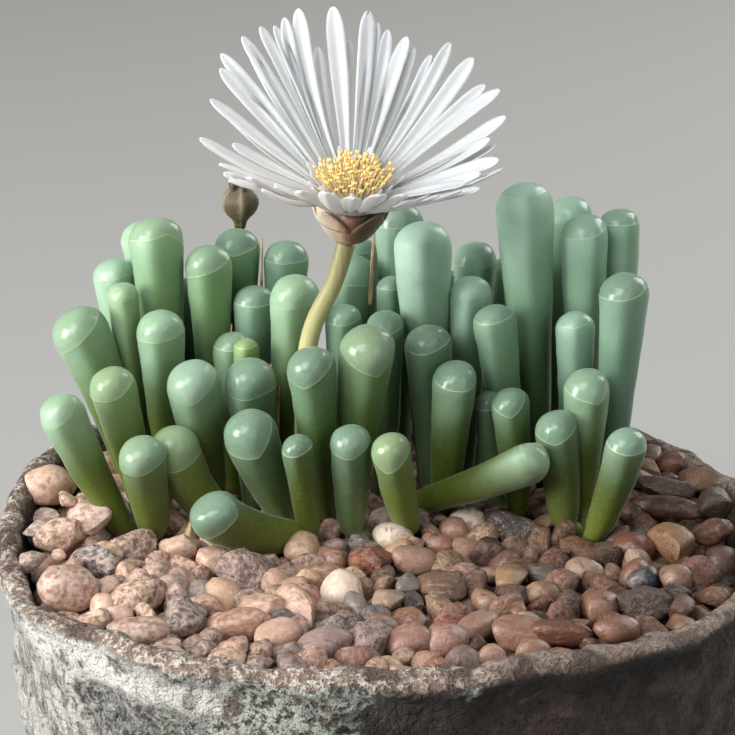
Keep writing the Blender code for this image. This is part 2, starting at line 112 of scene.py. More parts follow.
# How the stones are poured and settle; the nearest is a share of the sum of two radii
POUR_DEPTH = 7.0
SETTLE_ROUNDS = 110
SINK = 0.22
NEAREST = 0.94
LONGEST_PUSH = 1.5
PUSH_SHARE = 0.6
SIZE_SWING = 0.03
# Divisions of the top stones' forms, first the poured ones and then the known ones
TOP_DIVISIONS = (5, 7)
UNDER_DIVISIONS = (3,)
# Kinds of stone, as (flats, how far each flat cuts in, depth of the crumbled skin)
WATER_WORN, BROKEN, CRUMBLY = range(3)
STONE_KINDS = ((2, 0.55, 0.02), (9, 0.93, 0.04), (5, 0.8, 0.13))
# Ruggedness under which a stone is water-worn, and under which it is broken
KNOWN_LIMITS = (0.15, 0.65)
POURED_LIMITS = (0.16, 0.70)
# Stones that the photograph shows, as (pixel x, pixel y, length, breadth, turn, tint, ruggedness)
KNOWN_STONES = (
    (372, 562, 9.5, 7.5, 70, 0.97, 0.6),
    (344, 590, 7.2, 6.4, 100, 0.02, 0.0),
    (388, 600, 5.2, 4.6, 60, 0.08, 0.2),
    (410, 586, 5.4, 3.6, 80, 0.66, 0.2),
    (440, 590, 7.8, 6.2, 10, 0.42, 0.3),
    (415, 560, 7.0, 4.6, 15, 0.24, 0.1),
    (642, 579, 4.8, 4.4, 0, 0.905, 0.0),
    (672, 545, 9.2, 6.4, -55, 0.13, 0.2),
    (670, 508, 11.0, 4.0, -12, 0.50, 0.0),
    (632, 547, 6.8, 5.0, -10, 0.36, 0.0),
    (645, 603, 8.0, 5.4, -12, 0.70, 0.7),
    (620, 630, 7.2, 4.6, 25, 0.24, 0.0),
    (525, 634, 9.6, 5.6, 8, 0.30, 0.1),
    (510, 578, 7.6, 4.8, 75, 0.15, 0.2),
    (515, 528, 9.0, 6.0, -30, 0.78, 0.9),
    (560, 632, 8.4, 3.8, -6, 0.36, 0.0),
    (478, 625, 8.8, 4.0, 55, 0.27, 0.1),
    (445, 640, 6.6, 5.2, 20, 0.30, 0.1),
    (410, 642, 6.4, 5.8, 0, 0.33, 0.1),
    (370, 642, 8.2, 7.2, 60, 0.60, 0.9),
    (326, 645, 8.0, 5.6, 25, 0.56, 0.0),
    (300, 608, 9.4, 4.6, -62, 0.24, 0.3),
    (265, 607, 7.6, 4.6, -25, 0.20, 0.3),
    (240, 624, 8.4, 4.6, -4, 0.39, 0.0),
    (278, 637, 6.8, 5.2, 30, 0.24, 0.1),
    (242, 574, 9.0, 7.2, 20, 0.56, 0.9),
    (305, 549, 6.4, 5.6, 90, 0.18, 0.1),
    (180, 549, 8.0, 6.6, 100, 0.10, 0.2),
    (98, 560, 7.4, 5.2, -30, 0.80, 0.9),
    (132, 545, 7.6, 5.8, 30, 0.45, 0.7),
    (136, 597, 9.0, 6.2, 35, 0.21, 0.9),
    (68, 587, 8.2, 7.0, 0, 0.44, 0.0),
    (62, 535, 8.8, 5.2, 20, 0.21, 0.6),
    (50, 486, 8.0, 6.4, 25, 0.27, 0.1),
    (88, 518, 8.6, 6.4, -70, 0.60, 0.3),
    (66, 500, 3.6, 3.2, 90, 0.20, 0.3),
    (42, 526, 6.6, 3.0, 40, 0.75, 0.2),
    (32, 560, 6.6, 4.0, 80, 0.55, 0.3),
    (59, 555, 2.2, 2.0, 0, 0.18, 0.0),
    (653, 456, 4.6, 3.6, 90, 0.43, 0.1),
    (674, 463, 4.8, 4.2, 0, 0.41, 0.0),
    (697, 481, 6.8, 4.4, -15, 0.15, 0.3),
    (664, 488, 9.5, 3.4, -4, 0.73, 0.2),
    (640, 478, 6.0, 4.0, 10, 0.43, 0.2),
    (712, 506, 6.8, 5.8, 20, 0.66, 0.3),
    (632, 512, 5.8, 3.6, -60, 0.50, 0.1),
    (714, 532, 6.5, 4.5, -10, 0.47, 0.3),
    (182, 616, 8.0, 6.2, 70, 0.74, 0.9),
    (138, 630, 8.4, 4.4, 0, 0.42, 0.0),
    (215, 560, 5.6, 5.0, 40, 0.18, 0.1),
    (520, 610, 4.8, 3.0, 80, 0.27, 0.2),
    (600, 606, 6.0, 5.2, 20, 0.24, 0.1),
    (700, 570, 5.6, 4.6, 30, 0.30, 0.5),
    (678, 578, 4.8, 4.4, 0, 0.12, 0.0),
)

# Leaves, head by head: where the root stands, then each leaf as (base x, base y, tip x, tip y,
# tip z, width, bend, direction of the flat side, how far below the tip the window ends at its
# left, corner and right in half widths, the corner's turn, tone from yellow -1 to blue +1, and
# how much waxy bloom and painted light covers it)
LEAF_LEVEL = 56.5
CROWN_LEVEL = 52.5
Leaf = namedtuple("Leaf", (
    "base_x", "base_y", "tip_x", "tip_y", "tip_z", "width", "bend", "direction", "marks", "corner",
    "tone", "bloom",
))
HEAD_TABLE = {
    "front_left": ((-37, 11), (
        (-40.5, 8, -49.8, 3, 79.5, 7.2, -0.05, -75, (0.9, 0.8, 0.3), 5, -0.35, 0.85),
        (-37, 14, -42.3, 11.5, 81, 7.3, 0.0, -75, (0.95, 1.05, 0.6), 5, -0.5, 0.45),
        (-35.5, 6, -37, 0.5, 73.2, 7.3, 0.10, -80, (1.05, 1.05, 0.95), 0, -0.2, 0.45),
    )),
    "left": ((-37, 22), (
        (-39, 22, -48.6, 20, 87.4, 9.2, 0.15, -60, (1.2, 0.85, 0.4), -10, -0.25, 0.5),
        (-33.5, 22, -34.8, 19.8, 87.4, 7.7, 0.05, -80, (0.95, 0.98, 0.9), 5, -0.2, 0.6),
        (-38, 25, -40.8, 24.2, 90.5, 5.2, 0.05, -60, (0.8, 0.8, 0.8), 0, -0.6, 0.9),
    )),
    "back_left": ((-34, 31), (
        (-33.7, 30, -35.8, 30.2, 99.3, 8.8, 0.05, -75, (0.7, 0.45, 1.3), 25, -0.3, 0.5),
        (-33, 34, -38.6, 38.5, 96.2, 7.3, 0.10, -60, (0.8, 0.8, 0.8), 0, -0.2, 0.8),
        (-38, 30, -43, 33.5, 91.5, 7.2, 0.10, -50, (0.8, 0.8, 0.8), 0, -0.2, 0.8),
    )),
    "left_middle": ((-26, 15), (
        (-25.5, 13, -32.6, 7.2, 72.9, 8.0, -0.30, -75, (1.15, 1.2, 1.15), 0, -0.5, 0.5),
        (-27, 16, -29.6, 11.3, 81.8, 8.4, 0.05, -80, (1.0, 1.2, 0.45), -8, -0.1, 0.6),
    )),
    "front_middle_left": ((-13, 8), (
        (-13, 4, -27, -6, 66.0, 8.0, -0.30, -130, (0.8, 1.2, 1.3), -20, 0.0, 0.2),
        (-14.6, 11, -21.3, 5, 76, 8.6, -0.10, -75, (0.95, 1.25, 0.4), 0, 0.3, 0.15),
        (-11.5, 4.5, -13.4, 1.5, 73.8, 5.1, 0.05, -90, (0.8, 0.85, 0.7), 0, 0.0, 0.0),
    )),
    "middle_left": ((-22, 24), (
        (-20, 18.5, -20.7, 14, 81.3, 8.0, 0.05, -90, (1.15, 1.2, 1.15), 0, 0.2, 0.25),
        (-23.5, 24, -23.6, 22.8, 82.8, 6.2, 0.05, -80, (0.6, 0.6, 0.6), 0, -0.2, 0.4),
        (-21.5, 22.2, -21.4, 20.6, 82.6, 4.3, 0.05, -80, (0.4, 0.4, 0.4), 0, -0.95, 0.6),
        (-21, 28, -20.2, 30, 88.2, 6.9, 0.0, -80, (0.7, 0.75, 0.7), 0, 0.6, 0.3),
        (-26, 27.5, -27.6, 29.5, 95, 7.4, 0.0, -85, (1.3, 0.9, 0.5), 20, -0.2, 0.35),
    )),
    "far_left": ((-22, 36), (
        (-23.5, 35, -23.3, 38, 95, 7.6, 0.0, -90, (0.6, 0.95, 0.6), 0, 0.0, 0.25),
        (-17, 35, -15.3, 37.5, 93.2, 7.3, 0.0, -85, (0.8, 0.8, 0.75), 0, 0.2, 0.35),
        (-16.5, 40, -15.5, 46.5, 86, 7.0, 0.10, 90, (0.8, 0.9, 0.8), 0, 0.0, 0.3),
        (-28, 37, -32.5, 43.5, 85, 7.4, 0.10, 120, (0.9, 0.9, 0.6), 0, 0.1, 0.4),
    )),
    "by_stem": ((-10, 29), (
        (-15.5, 25, -13.6, 24.3, 91.7, 8.0, 0.0, -85, (1.1, 1.0, 0.6), 35, -0.3, 0.75),
        (-7.5, 27, -6.1, 26.5, 86.2, 5.9, 0.0, -80, (0.85, 0.8, 0.6), 0, 0.1, 0.5),
        (-7, 33, -4.6, 36, 91.2, 7.3, 0.0, -95, (1.35, 1.1, 1.2), 0, 0.3, 0.5),
    )),
    "before_stem": ((-8, 13), (
        (-9.5, 12, -11.2, 7, 85.7, 7.6, 0.05, -85, (0.9, 1.3, 0.45), -28, 0.0, 0.12),
        (-5.3, 16.5, -1.9, 10, 88, 9.1, 0.05, -70, (0.75, 1.4, 0.45), 10, -0.25, 0.2),
    )),
    "front_middle": ((-1, 8), (
        (-5, 7, -5.1, 3, 74.5, 6.5, 0.05, -85, (0.95, 1.15, 0.6), -3, 0.4, 0.15),
        (3.8, 7.5, 0.8, 1, 74, 6.3, -0.12, -78, (0.7, 1.4, 0.75), -35, -0.45, 0.25),
    )),
    "middle_right": ((6, 18), (
        (3.5, 16.5, 24, 3, 70.3, 7.0, -0.05, 100, (0.6, 0.7, 0.6), 0, -0.2, 0.55),
        (9.5, 17.5, 11.4, 12.5, 81.4, 7.6, 0.05, -60, (0.7, 0.7, 0.6), 0, 0.0, 0.15),
        (8, 22, 6.7, 18.5, 85.3, 7.4, 0.05, -95, (0.85, 0.8, 0.6), 0, 0.5, 0.05),
    )),
    "right_of_middle": ((19, 18), (
        (17.5, 19, 16.2, 17.3, 75, 4.9, 0.05, -95, (0.8, 0.8, 0.8), 0, 0.4, 0.1),
        (21, 15.5, 19.3, 13, 77, 6.1, 0.05, -90, (0.5, 1.1, 0.3), 0, 0.0, 0.1),
        (20.5, 21, 16.8, 20.2, 88.2, 6.9, 0.05, -100, (0.5, 0.55, 0.5), 0, 0.3, 0.4),
    )),
    "middle": ((0, 27), (
        (0, 25, 0.2, 22, 86.5, 6.2, 0.05, -80, (0.8, 0.8, 0.7), 0, 0.3, 0.3),
        (1, 30, 1.2, 32.3, 89, 4.8, 0.05, -80, (0.7, 0.7, 0.7), 0, 0.6, 0.4),
    )),
    "tall_middle": ((10, 29), (
        (7.5, 27.5, 6, 26.7, 99.6, 9.5, 0.0, -85, (0.5, 0.4, 0.45), 0, 0.3, 1.25),
        (12.5, 27, 13.8, 27.8, 90.4, 6.9, 0.05, -95, (0.9, 0.8, 0.8), 0, 0.5, 1.2),
        (14, 33.5, 14.8, 36.5, 93.3, 7.5, 0.05, -70, (0.95, 0.9, 0.45), 30, 0.2, 0.6),
    )),
    "far_middle": ((0, 38), (
        (2.5, 36.5, 2.6, 40, 98.6, 8.0, 0.0, -90, (0.8, 0.8, 0.8), 0, 0.5, 0.5),
        (-3, 40, -4, 46.5, 91.5, 7.4, 0.05, -90, (0.8, 0.8, 0.8), 0, 0.5, 0.5),
        (8, 42, 10, 48, 85, 7.4, 0.10, 80, (0.9, 1.0, 0.7), 0, 0.2, 0.3),
    )),
    "tall_right": ((23, 32), (
        (24.5, 28, 21.8, 27.5, 105.7, 9.7, 0.0, -85, (0.3, 0.2, 0.3), 0, 0.3, 1.0),
        (28, 36, 29.9, 39.5, 99.8, 8.0, 0.0, -80, (0.7, 0.7, 0.7), 0, 0.5, 0.7),
        (19.5, 38, 20, 45, 88, 7.2, 0.10, 90, (0.9, 0.9, 0.9), 0, 0.2, 0.4),
    )),
    "right": ((34, 25), (
        (30, 22.5, 29.8, 22, 86.6, 6.4, 0.0, -95, (0.55, 0.5, 0.35), 0, 0.8, 0.6),
        (35.5, 21, 37.4, 19.5, 93.6, 8.0, 0.05, -100, (0.95, 0.7, 0.45), 30, 1.0, 0.22),
        (32, 28, 31.5, 28.8, 100.2, 8.2, 0.0, -75, (0.75, 0.55, 0.4), 30, 0.6, 0.5),
        (37, 30, 37.3, 35, 99.3, 7.3, 0.05, -80, (0.6, 0.6, 0.6), 0, 0.6, 0.45),
    )),
    "front_right": ((31, 9), (
        (28, 9.5, 26.4, 9.6, 74.8, 7.2, 0.05, -80, (0.85, 1.2, 0.5), -22, 0.1, 0.12),
        (30.5, 13, 31.5, 13, 80.3, 7.6, 0.0, -80, (0.7, 1.15, 0.45), 18, -0.1, 0.38),
        (32.5, 5, 37.2, 1.5, 74.8, 6.6, -0.12, -95, (0.7, 0.75, 0.7), 0, 0.0, 0.3),
    )),
}
HEADS = {
    name: (root, [Leaf(*row) for row in rows]) for name, (root, rows) in HEAD_TABLE.items()
}
# Flat side of a leaf: the cosines at its middle and its start, its turn from the facing side, and
# how much further it is turned for each millimetre that the tip stands to the right
FLAT_SIDE = 1.0
FLAT_START = 0.3
FLAT_TURN = 46.0
FLAT_TURN_PER_MM = 0.35
# Window's reach at the back in half widths, the rows of points, and the crease
BACK_OF_WINDOW = 0.35
CAP_ROWS = 10
SHAFT_ROWS = 16
NECK_ROWS = 3
CREASE_HALF = 0.15
CREASE_RAISED = 0.05
# Root as (radius, height above the crown)
ROOT_OUTLINE = ((1.2, -8.5), (2.2, -6.0), (2.2, -3.0), (3.2, -0.5), (2.2, 1.4))

# Flower: the same stalk and tilted axis as the solids'. Outlines are (radius, height) over its foot
STALK_ROUTE = (
    (-12.6, 18.4, 40), (-12.6, 18.3, 58), (-11.8, 15, 83), (-7.6, 13.6, 94.5), (-5.8, 13.9, 100.7),
)
FLOWER_FOOT = (-5.5, 13.9, 101.5)
FLOWER_TILT = 13.0
FLOWER_LEAN = 4.0
CALYX_LOBES = 5
CALYX_OUTLINE = (
    (1.3, -0.6), (2.0, -0.2), (3.0, 0.5), (3.9, 1.5), (4.6, 2.8), (5.1, 4.2), (5.4, 5.6),
    (5.5, 6.4), (5.3, 6.8), (5.0, 6.3), (4.4, 5.4), (1.5, 4.8),
)
HUB_OUTLINE = ((2.2, 5.9), (4.4, 5.9), (5.2, 6.9), (5.2, 8.0), (4.6, 8.5), (3.0, 8.7))
LOBE_HALF_THICKNESS = 0.18
INNER_PETALS = 20
STAMEN_FORMS = 6
STAMEN_LEVEL = 8.9
# Radius and level that petals start at
PETAL_ROOT = 4.6
PETAL_LEVEL = 7.6
# Petals by the pixel that each tip shows at, as (x, y, rise, width)
PETAL_TIPS = (
    (199, 139, 27, 2.0), (210, 100, 31, 2.2), (220, 69, 35, 2.3), (221, 54, 36, 2.0),
    (242, 37, 37, 2.2), (247, 43, 36, 1.5), (260, 27, 38, 2.2), (274, 26, 38, 1.9),
    (284, 18, 39, 2.2), (298, 9, 40, 2.5), (333, 7, 40, 2.8), (368, 11, 40, 2.6),
    (378, 23, 38, 1.6), (388, 30, 38, 2.0), (407, 37, 38, 2.4), (415, 47, 36, 1.3),
    (431, 55, 36, 1.6), (437, 57, 34, 1.3), (450, 43, 37, 2.1), (473, 58, 36, 2.6),
    (485, 85, 34, 2.0), (500, 90, 33, 2.4), (506, 117, 30, 2.3), (490, 139, 28, 1.9),
    (499, 160, 27, 2.1),
)
FRONT_TIPS = (
    (232, 144, 24, 1.5), (223, 174, 26, 1.6), (229, 181, 27, 1.5), (466, 184, 28, 1.9),
    (482, 172, 26, 1.6), (262, 190, 29, 1.6),
)
# Petals that point at the viewer, or fill behind the others, as (turn, rise, length, width)
OTHER_PETALS = (
    (-128, 34, 17, 2.4), (-116, 36, 16.5, 2.9), (-103, 38, 17.5, 3.1), (-90, 38, 16, 2.9),
    (-78, 39, 17, 3.1), (-66, 38, 17.0, 2.9), (-55, 35, 17.5, 2.5),
    (-48, 33, 17, 2.0), (-36, 31, 17.5, 1.9), (-140, 32, 18, 1.9), (-20, 29, 18, 1.8),
    (106, 34, 23, 1.9), (94, 34, 24, 1.8), (53, 31, 22.5, 1.8), (159, 27, 19.5, 1.7),
    (12, 25, 19, 1.7), (-151, 27, 18.5, 2.2), (-163, 25, 18, 2.0), (-145, 30, 17, 2.3),
    (-30, 28, 19, 2.2), (-8, 25, 19.5, 2.0),
)

# Seed capsule
CAPSULE_STALK_ROUTE = ((-22.6, 41.6, 40), (-22.6, 41.7, 58), (-23.0, 44.0, 93.4))
CAPSULE_FOOT = (-23.0, 44.0, 93.8)
CAPSULE_RIBS = 5
CAPSULE_OUTLINE = (
    (0.95, -0.4), (1.05, 0.2), (1.25, 0.8), (1.7, 1.4), (2.2, 2.0), (2.65, 2.8),
    (2.9, 3.7), (2.85, 4.5), (2.5, 5.2), (1.9, 5.9), (1.2, 6.4), (0.5, 6.7),
)

# Dry sheaths between the leaves, as (foot, tip, width)
SHEATH_HALF_THICKNESS = 0.1
SHEATHS = (
    ((-35, 13, 55), (-33.4, 11, 68), 3.0),
    ((-17.5, 19, 62), (-16.4, 17.5, 76), 1.6),
    ((-17, 20, 66), (-17.6, 18.8, 79), 1.0),
    ((20.8, 19.5, 64), (20.4, 19.4, 79), 0.9),
    ((32.4, 21.2, 66), (32.2, 21.5, 84), 0.8),
    ((-2.2, 33, 84), (-1.4, 35.5, 98.5), 0.8),
    ((-19.6, 35, 80), (-19.2, 36.5, 94), 0.7),
    ((-24.6, 26, 70), (-23.9, 26.5, 83), 0.7),
    ((-30, 4, 54), (-29.5, 1.5, 59), 2.6),
    ((33.5, 8, 54.5), (34.8, 6, 61), 2.0),
    ((2, 20, 55), (1.5, 16, 66), 2.4),
)


def camera_axes():
    """The photograph's camera: its place and its forward, right and up directions."""
    slope = math.radians(VIEW_SLOPE)
    forward = Vector((0, math.cos(slope), -math.sin(slope)))
    up = Vector((0, math.sin(slope), math.cos(slope)))
    return Vector(VIEW_TARGET) - forward * VIEW_DISTANCE, forward, Vector((1, 0, 0)), up


def sight_line(x, y):
    """Start and direction of the line of sight through a pixel of the photograph."""
    place, forward, right, up = camera_axes()
    scale = SENSOR / LENS / PHOTO_PIXELS
    middle = PHOTO_PIXELS / 2
    return place, forward + right * (x - middle) * scale + up * (middle - y) * scale


def level_spot(x, y, height):
    """Where the line of sight through a pixel meets a level plane."""
    start, along = sight_line(x, y)
    return start + along * (height - start.z) / along.z


def between(p0, p1, p2, p3, share):
    """A smooth curve from p1 to p2, which p0 and p3 steer."""
    return 0.5 * (
        2 * p1
        + (p2 - p0) * share
        + (2 * p0 - 5 * p1 + 4 * p2 - p3) * share**2
        + (3 * p1 - p0 - 3 * p2 + p3) * share**3
    )


def wave_at(values, turn):
    """Smooth value at a share of a full turn, through values spaced evenly round it."""
    place = turn * len(values)
    first = math.floor(place)
    near = [values[(first + step) % len(values)] for step in (-1, 0, 1, 2)]
    return between(*near, place - first)


def curve_through(route, count):
    """Evenly stepped points on a smooth curve through the route."""
    knots = [Vector(point) for point in route]
    knots = [2 * knots[0] - knots[1]] + knots + [2 * knots[-1] - knots[-2]]
    spans = len(route) - 1
    found = []
    for step in range(count):
        place = step / (count - 1) * spans
        span = min(int(place), spans - 1)
        found.append(between(*knots[span:span + 4], place - span))
    return found


def ease(value, low, high):
    """Smooth step from 0 at low to 1 at high."""
    share = max(0.0, min(1.0, (value - low) / (high - low)))
    return share * share * (3 - 2 * share)


def rough(point, size):
    """Smooth noise between about -1 and 1, with bumps of that size."""
    return noise.noise(Vector(point) / size)


class Shape:
    """Points, faces and named values of a mesh that is put together piece by piece."""

    def __init__(self, *value_names):
        self.points = []
        self.faces = []
        self.values = {name: [] for name in value_names}

    def add(self, points, faces, **values):
        """Adds a piece; each value is one number for all its points, or a list of them."""
        first = len(self.points)
        self.points += [Vector(point) for point in points]
        self.faces += [tuple(first + corner for corner in face) for face in faces]
        for name, kept in self.values.items():
            given = values.get(name, 0.0)
            kept += given if isinstance(given, list) else [given] * len(points)

    def add_rings(self, rings, end=None, **values):
        """Adds a tube through equal rings, its end closed by a point or a flat face."""
        points, faces = loft(rings, end)
        self.add(points, faces, **values)

    def build(self, name, finish):
        """Makes the mesh and its object, with the faces turned outwards."""
        mesh = bpy.data.meshes.new(name)
        mesh.from_pydata([point * MM for point in self.points], [], self.faces)
        for value_name, numbers in self.values.items():
            layer = mesh.attributes.new(value_name, "FLOAT", "POINT")
            layer.data.foreach_set("value", numbers)
        shape = bmesh.new()
        shape.from_mesh(mesh)
        bmesh.ops.recalc_face_normals(shape, faces=shape.faces)
        shape.to_mesh(mesh)
        shape.free()
        mesh.shade_smooth()
        mesh.materials.append(finish)
        made = bpy.data.objects.new(name, mesh)
        bpy.context.scene.collection.objects.link(made)
        return made


def loft(rings, end=None):
    """Points and faces of a tube through equal rings, its end closed by a point or a flat face."""
    count = len(rings[0])
    points = [point for ring in rings for point in ring]
    faces = [tuple(range(count))]
    for low in range(0, len(points) - count, count):
        for side in range(count):
            after = (side + 1) % count
            faces.append((low + side, low + after, low + count + after, low + count + side))
    last = range(len(points) - count, len(points))
    if end is None:
        faces.append(tuple(last))
        return points, faces
    faces += [(last[side], last[(side + 1) % count], len(points)) for side in range(count)]
    return points + [end], faces


def heading(turn):
    """Level direction at a turn."""
    return Vector((math.cos(turn), math.sin(turn), 0))


def upwards(height):
    """A step straight up."""
    return Vector((0, 0, height))


def turns_about(sides):
    """Even turns, once round."""
    return [2 * math.pi * side / sides for side in range(sides)]


def circle(radius, z, sides):
    """Points of a level circle about the Z axis."""
    return [Vector((radius * math.cos(turn), radius * math.sin(turn), z)) for turn in turns_about(sides)]


def axes_about(along, facing):
    """Forward and sideways directions across a stem that runs along."""
    along = along.normalized()
    front = (facing - along * facing.dot(along)).normalized()
    return front, along.cross(front)


def ring_about(centre, along, facing, radius, sides):
    """Points of a circle across a stem that runs along."""
    front, across = axes_about(along, facing)
    return [
        centre + radius * (front * math.cos(turn) + across * math.sin(turn))
        for turn in turns_about(sides)
    ]


def strip_ring(points, offsets):
    """Ring round a thin strip: along its points moved by the offsets, and back on the other face."""
    near = [point + offset for point, offset in zip(points, offsets)]
    far = [point - offset for point, offset in zip(points, offsets)]
    return near + far[::-1]


def tube(shape, route, radii, sides, steps, end=None, **values):
    """Adds a tube along a route, its radius eased through the radii from first to last."""
    points = curve_through(route, steps)
    rings = []
    for step, point in enumerate(points):
        before = points[max(step - 1, 0)]
        after = points[min(step + 1, steps - 1)]
        place = step / (steps - 1) * (len(radii) - 1)
        low = min(int(place), len(radii) - 2)
        radius = radii[low] + (radii[low + 1] - radii[low]) * (place - low)
        rings.append(ring_about(point, after - before, Vector((1, 0, 0.01)), radius, sides))
    shape.add_rings(rings, end, **values)


def finish_piece(piece, slot, *nodes):
    """Rides the piece on the part's one body and stands it for its solids."""
    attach(piece, "root")
    if nodes:
        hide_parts(*nodes)


# Material building


def node(tree, kind, inputs=None, **settings):
    """A new node; an input given as a socket is linked, and any other value is set."""
    made = tree.nodes.new(kind)
    for name, value in settings.items():
        setattr(made, name, value)
    for name, value in (inputs or {}).items():
        if isinstance(value, bpy.types.NodeSocket):
            tree.links.new(value, made.inputs[name])
        else:
            made.inputs[name].default_value = value
    return made


def new_finish(name, roughness=0.5):
    """A material, its tree and its surface shader."""
    material = bpy.data.materials.new(name)
    material.use_nodes = True
    shader = material.node_tree.nodes["Principled BSDF"]
    shader.inputs["Roughness"].default_value = roughness
    return material, material.node_tree, shader


def soften(shader, weight, scale, radius=None):
    """Lets light into the surface, to a depth in metres, more or less for each colour."""
    shader.inputs["Subsurface Weight"].default_value = weight
    shader.inputs["Subsurface Scale"].default_value = scale
    if radius:
        shader.inputs["Subsurface Radius"].default_value = radius


def coordinates(tree, stretch=(1.0, 1.0, 1.0)):
    """Object coordinates in millimetres, divided by the stretch."""
    place = node(tree, "ShaderNodeTexCoord").outputs["Object"]
    scale = [1.0 / MM / part for part in stretch]
    return node(tree, "ShaderNodeMapping", {"Vector": place, "Scale": scale}).outputs[0]


def coordinate(tree, axis):
    """Object coordinate in millimetres along the axis X, Y or Z."""
    return node(tree, "ShaderNodeSeparateXYZ", {0: coordinates(tree)}).outputs[axis]


def attribute(tree, name):
    """Value that the mesh keeps for each point."""
    return node(tree, "ShaderNodeAttribute", attribute_name=name).outputs["Fac"]


def maths(tree, operation, first, second=0.0, clamp=False):
    """Arithmetic on two values."""
    inputs = {0: first, 1: second}
    return node(tree, "ShaderNodeMath", inputs, operation=operation, use_clamp=clamp).outputs[0]


def times(tree, first, second, clamp=False):
    """Product of two values."""
    return maths(tree, "MULTIPLY", first, second, clamp)


def plus(tree, first, second):
    """Sum of two values."""
    return maths(tree, "ADD", first, second)


def swung(tree, value, width):
    """A 0 to 1 noise as a swing of that width about 0."""
    return times(tree, maths(tree, "SUBTRACT", value, 0.5), width)


def spread(tree, value, low, high, to_low=0.0, to_high=1.0):
    """A value eased from one range to another."""
    inputs = {"Value": value, "From Min": low, "From Max": high, "To Min": to_low, "To Max": to_high}
    return node(tree, "ShaderNodeMapRange", inputs, interpolation_type="SMOOTHSTEP").outputs[0]


def steady(tree, value, low, high):
    """A value brought evenly from one range to 0 to 1."""
    inputs = {"Value": value, "From Min": low, "From Max": high}
    return node(tree, "ShaderNodeMapRange", inputs).outputs[0]


def cloud(tree, place, size, detail=3.0, roughness=0.55, distortion=0.0):
    """Noise with bumps of that size in millimetres."""
    inputs = {
        "Vector": place, "Scale": 1.0 / size, "Detail": detail, "Roughness": roughness,
        "Distortion": distortion,
    }
    return node(tree, "ShaderNodeTexNoise", inputs).outputs[0]


def cells(tree, place, size, feature="F1"):
    """Distance within cells of that size in millimetres."""
    inputs = {"Vector": place, "Scale": 1.0 / size}
    return node(tree, "ShaderNodeTexVoronoi", inputs, feature=feature).outputs["Distance"]


def mixed(tree, share, first, second, blend="MIX"):
    """Two colours mixed by the share of the second."""
    made = node(tree, "ShaderNodeMix", data_type="RGBA", blend_type=blend)
    for socket, value in ((made.inputs[0], share), (made.inputs[6], first), (made.inputs[7], second)):
        if isinstance(value, bpy.types.NodeSocket):
            tree.links.new(value, socket)
        elif isinstance(value, (int, float)):
            socket.default_value = value
        else:
            socket.default_value = (*value[:3], 1.0)
    return made.outputs[2]


def over(tree, colour, tint, value, low, high, most=1.0):
    """A colour with a tint laid over it, from none where the value is low to most where it is high."""
    return mixed(tree, spread(tree, value, low, high, 0.0, most), colour, tint)


def tinted(tree, colour, tint):
    """A colour multiplied by a tint."""
    return mixed(tree, 1.0, colour, tint, "MULTIPLY")


def ramp(tree, share, stops, interpolation="LINEAR"):
    """A colour read from stops of (place, colour)."""
    made = node(tree, "ShaderNodeValToRGB", {0: share})
    band = made.color_ramp
    band.interpolation = interpolation
    while len(band.elements) < len(stops):
        band.elements.new(1.0)
    for element, (place, colour) in zip(band.elements, stops):
        element.position = place
        element.color = (*colour, 1.0)
    return made.outputs[0]


def bump(tree, shader, height, depth):
    """Relief of that depth in millimetres on the surface, over any that is there."""
    inputs = {"Height": height, "Distance": depth * MM, "Strength": 1.0}
    old = shader.inputs["Normal"].links
    if old:
        inputs["Normal"] = old[0].from_socket
    tree.links.new(node(tree, "ShaderNodeBump", inputs).outputs[0], shader.inputs["Normal"])


# Bowl


class BowlSettings(bpy.types.PropertyGroup):
    sides: IntProperty(name="Sides", description="Points round the bowl", default=288, min=48)
    relief: FloatProperty(
        name="Relief", description="Height of the hand-made lumps in the wall",
        default=0.0009, unit="LENGTH",
    )
    pale_glaze: FloatVectorProperty(
        name="Pale glaze", description="Colour of the milky glaze", size=3, subtype="COLOR",
        default=(0.54, 0.53, 0.485),
    )
    dark_glaze: FloatVectorProperty(
        name="Dark glaze", description="Colour of the speckled dark glaze", size=3, subtype="COLOR",
        default=(0.040, 0.044, 0.034),
    )
    clay: FloatVectorProperty(
        name="Clay", description="Colour of the brown fired clay", size=3, subtype="COLOR",
        default=(0.046, 0.028, 0.021),
    )
    crust: FloatVectorProperty(
        name="Crust", description="Colour of the pale crust on the lip", size=3, subtype="COLOR",
        default=(0.36, 0.28, 0.22),
    )


def inner_radius(z):
    """Inside radius of the bowl's wall at a height."""
    share = max(0.0, (z - FLOOR_LEVEL) / (BOWL_HEIGHT - FLOOR_LEVEL))
    return BOWL_WAIST_RADIUS + (BOWL_TOP_RADIUS - BOWL_WAIST_RADIUS) * share**BOWL_SWELL - WALL


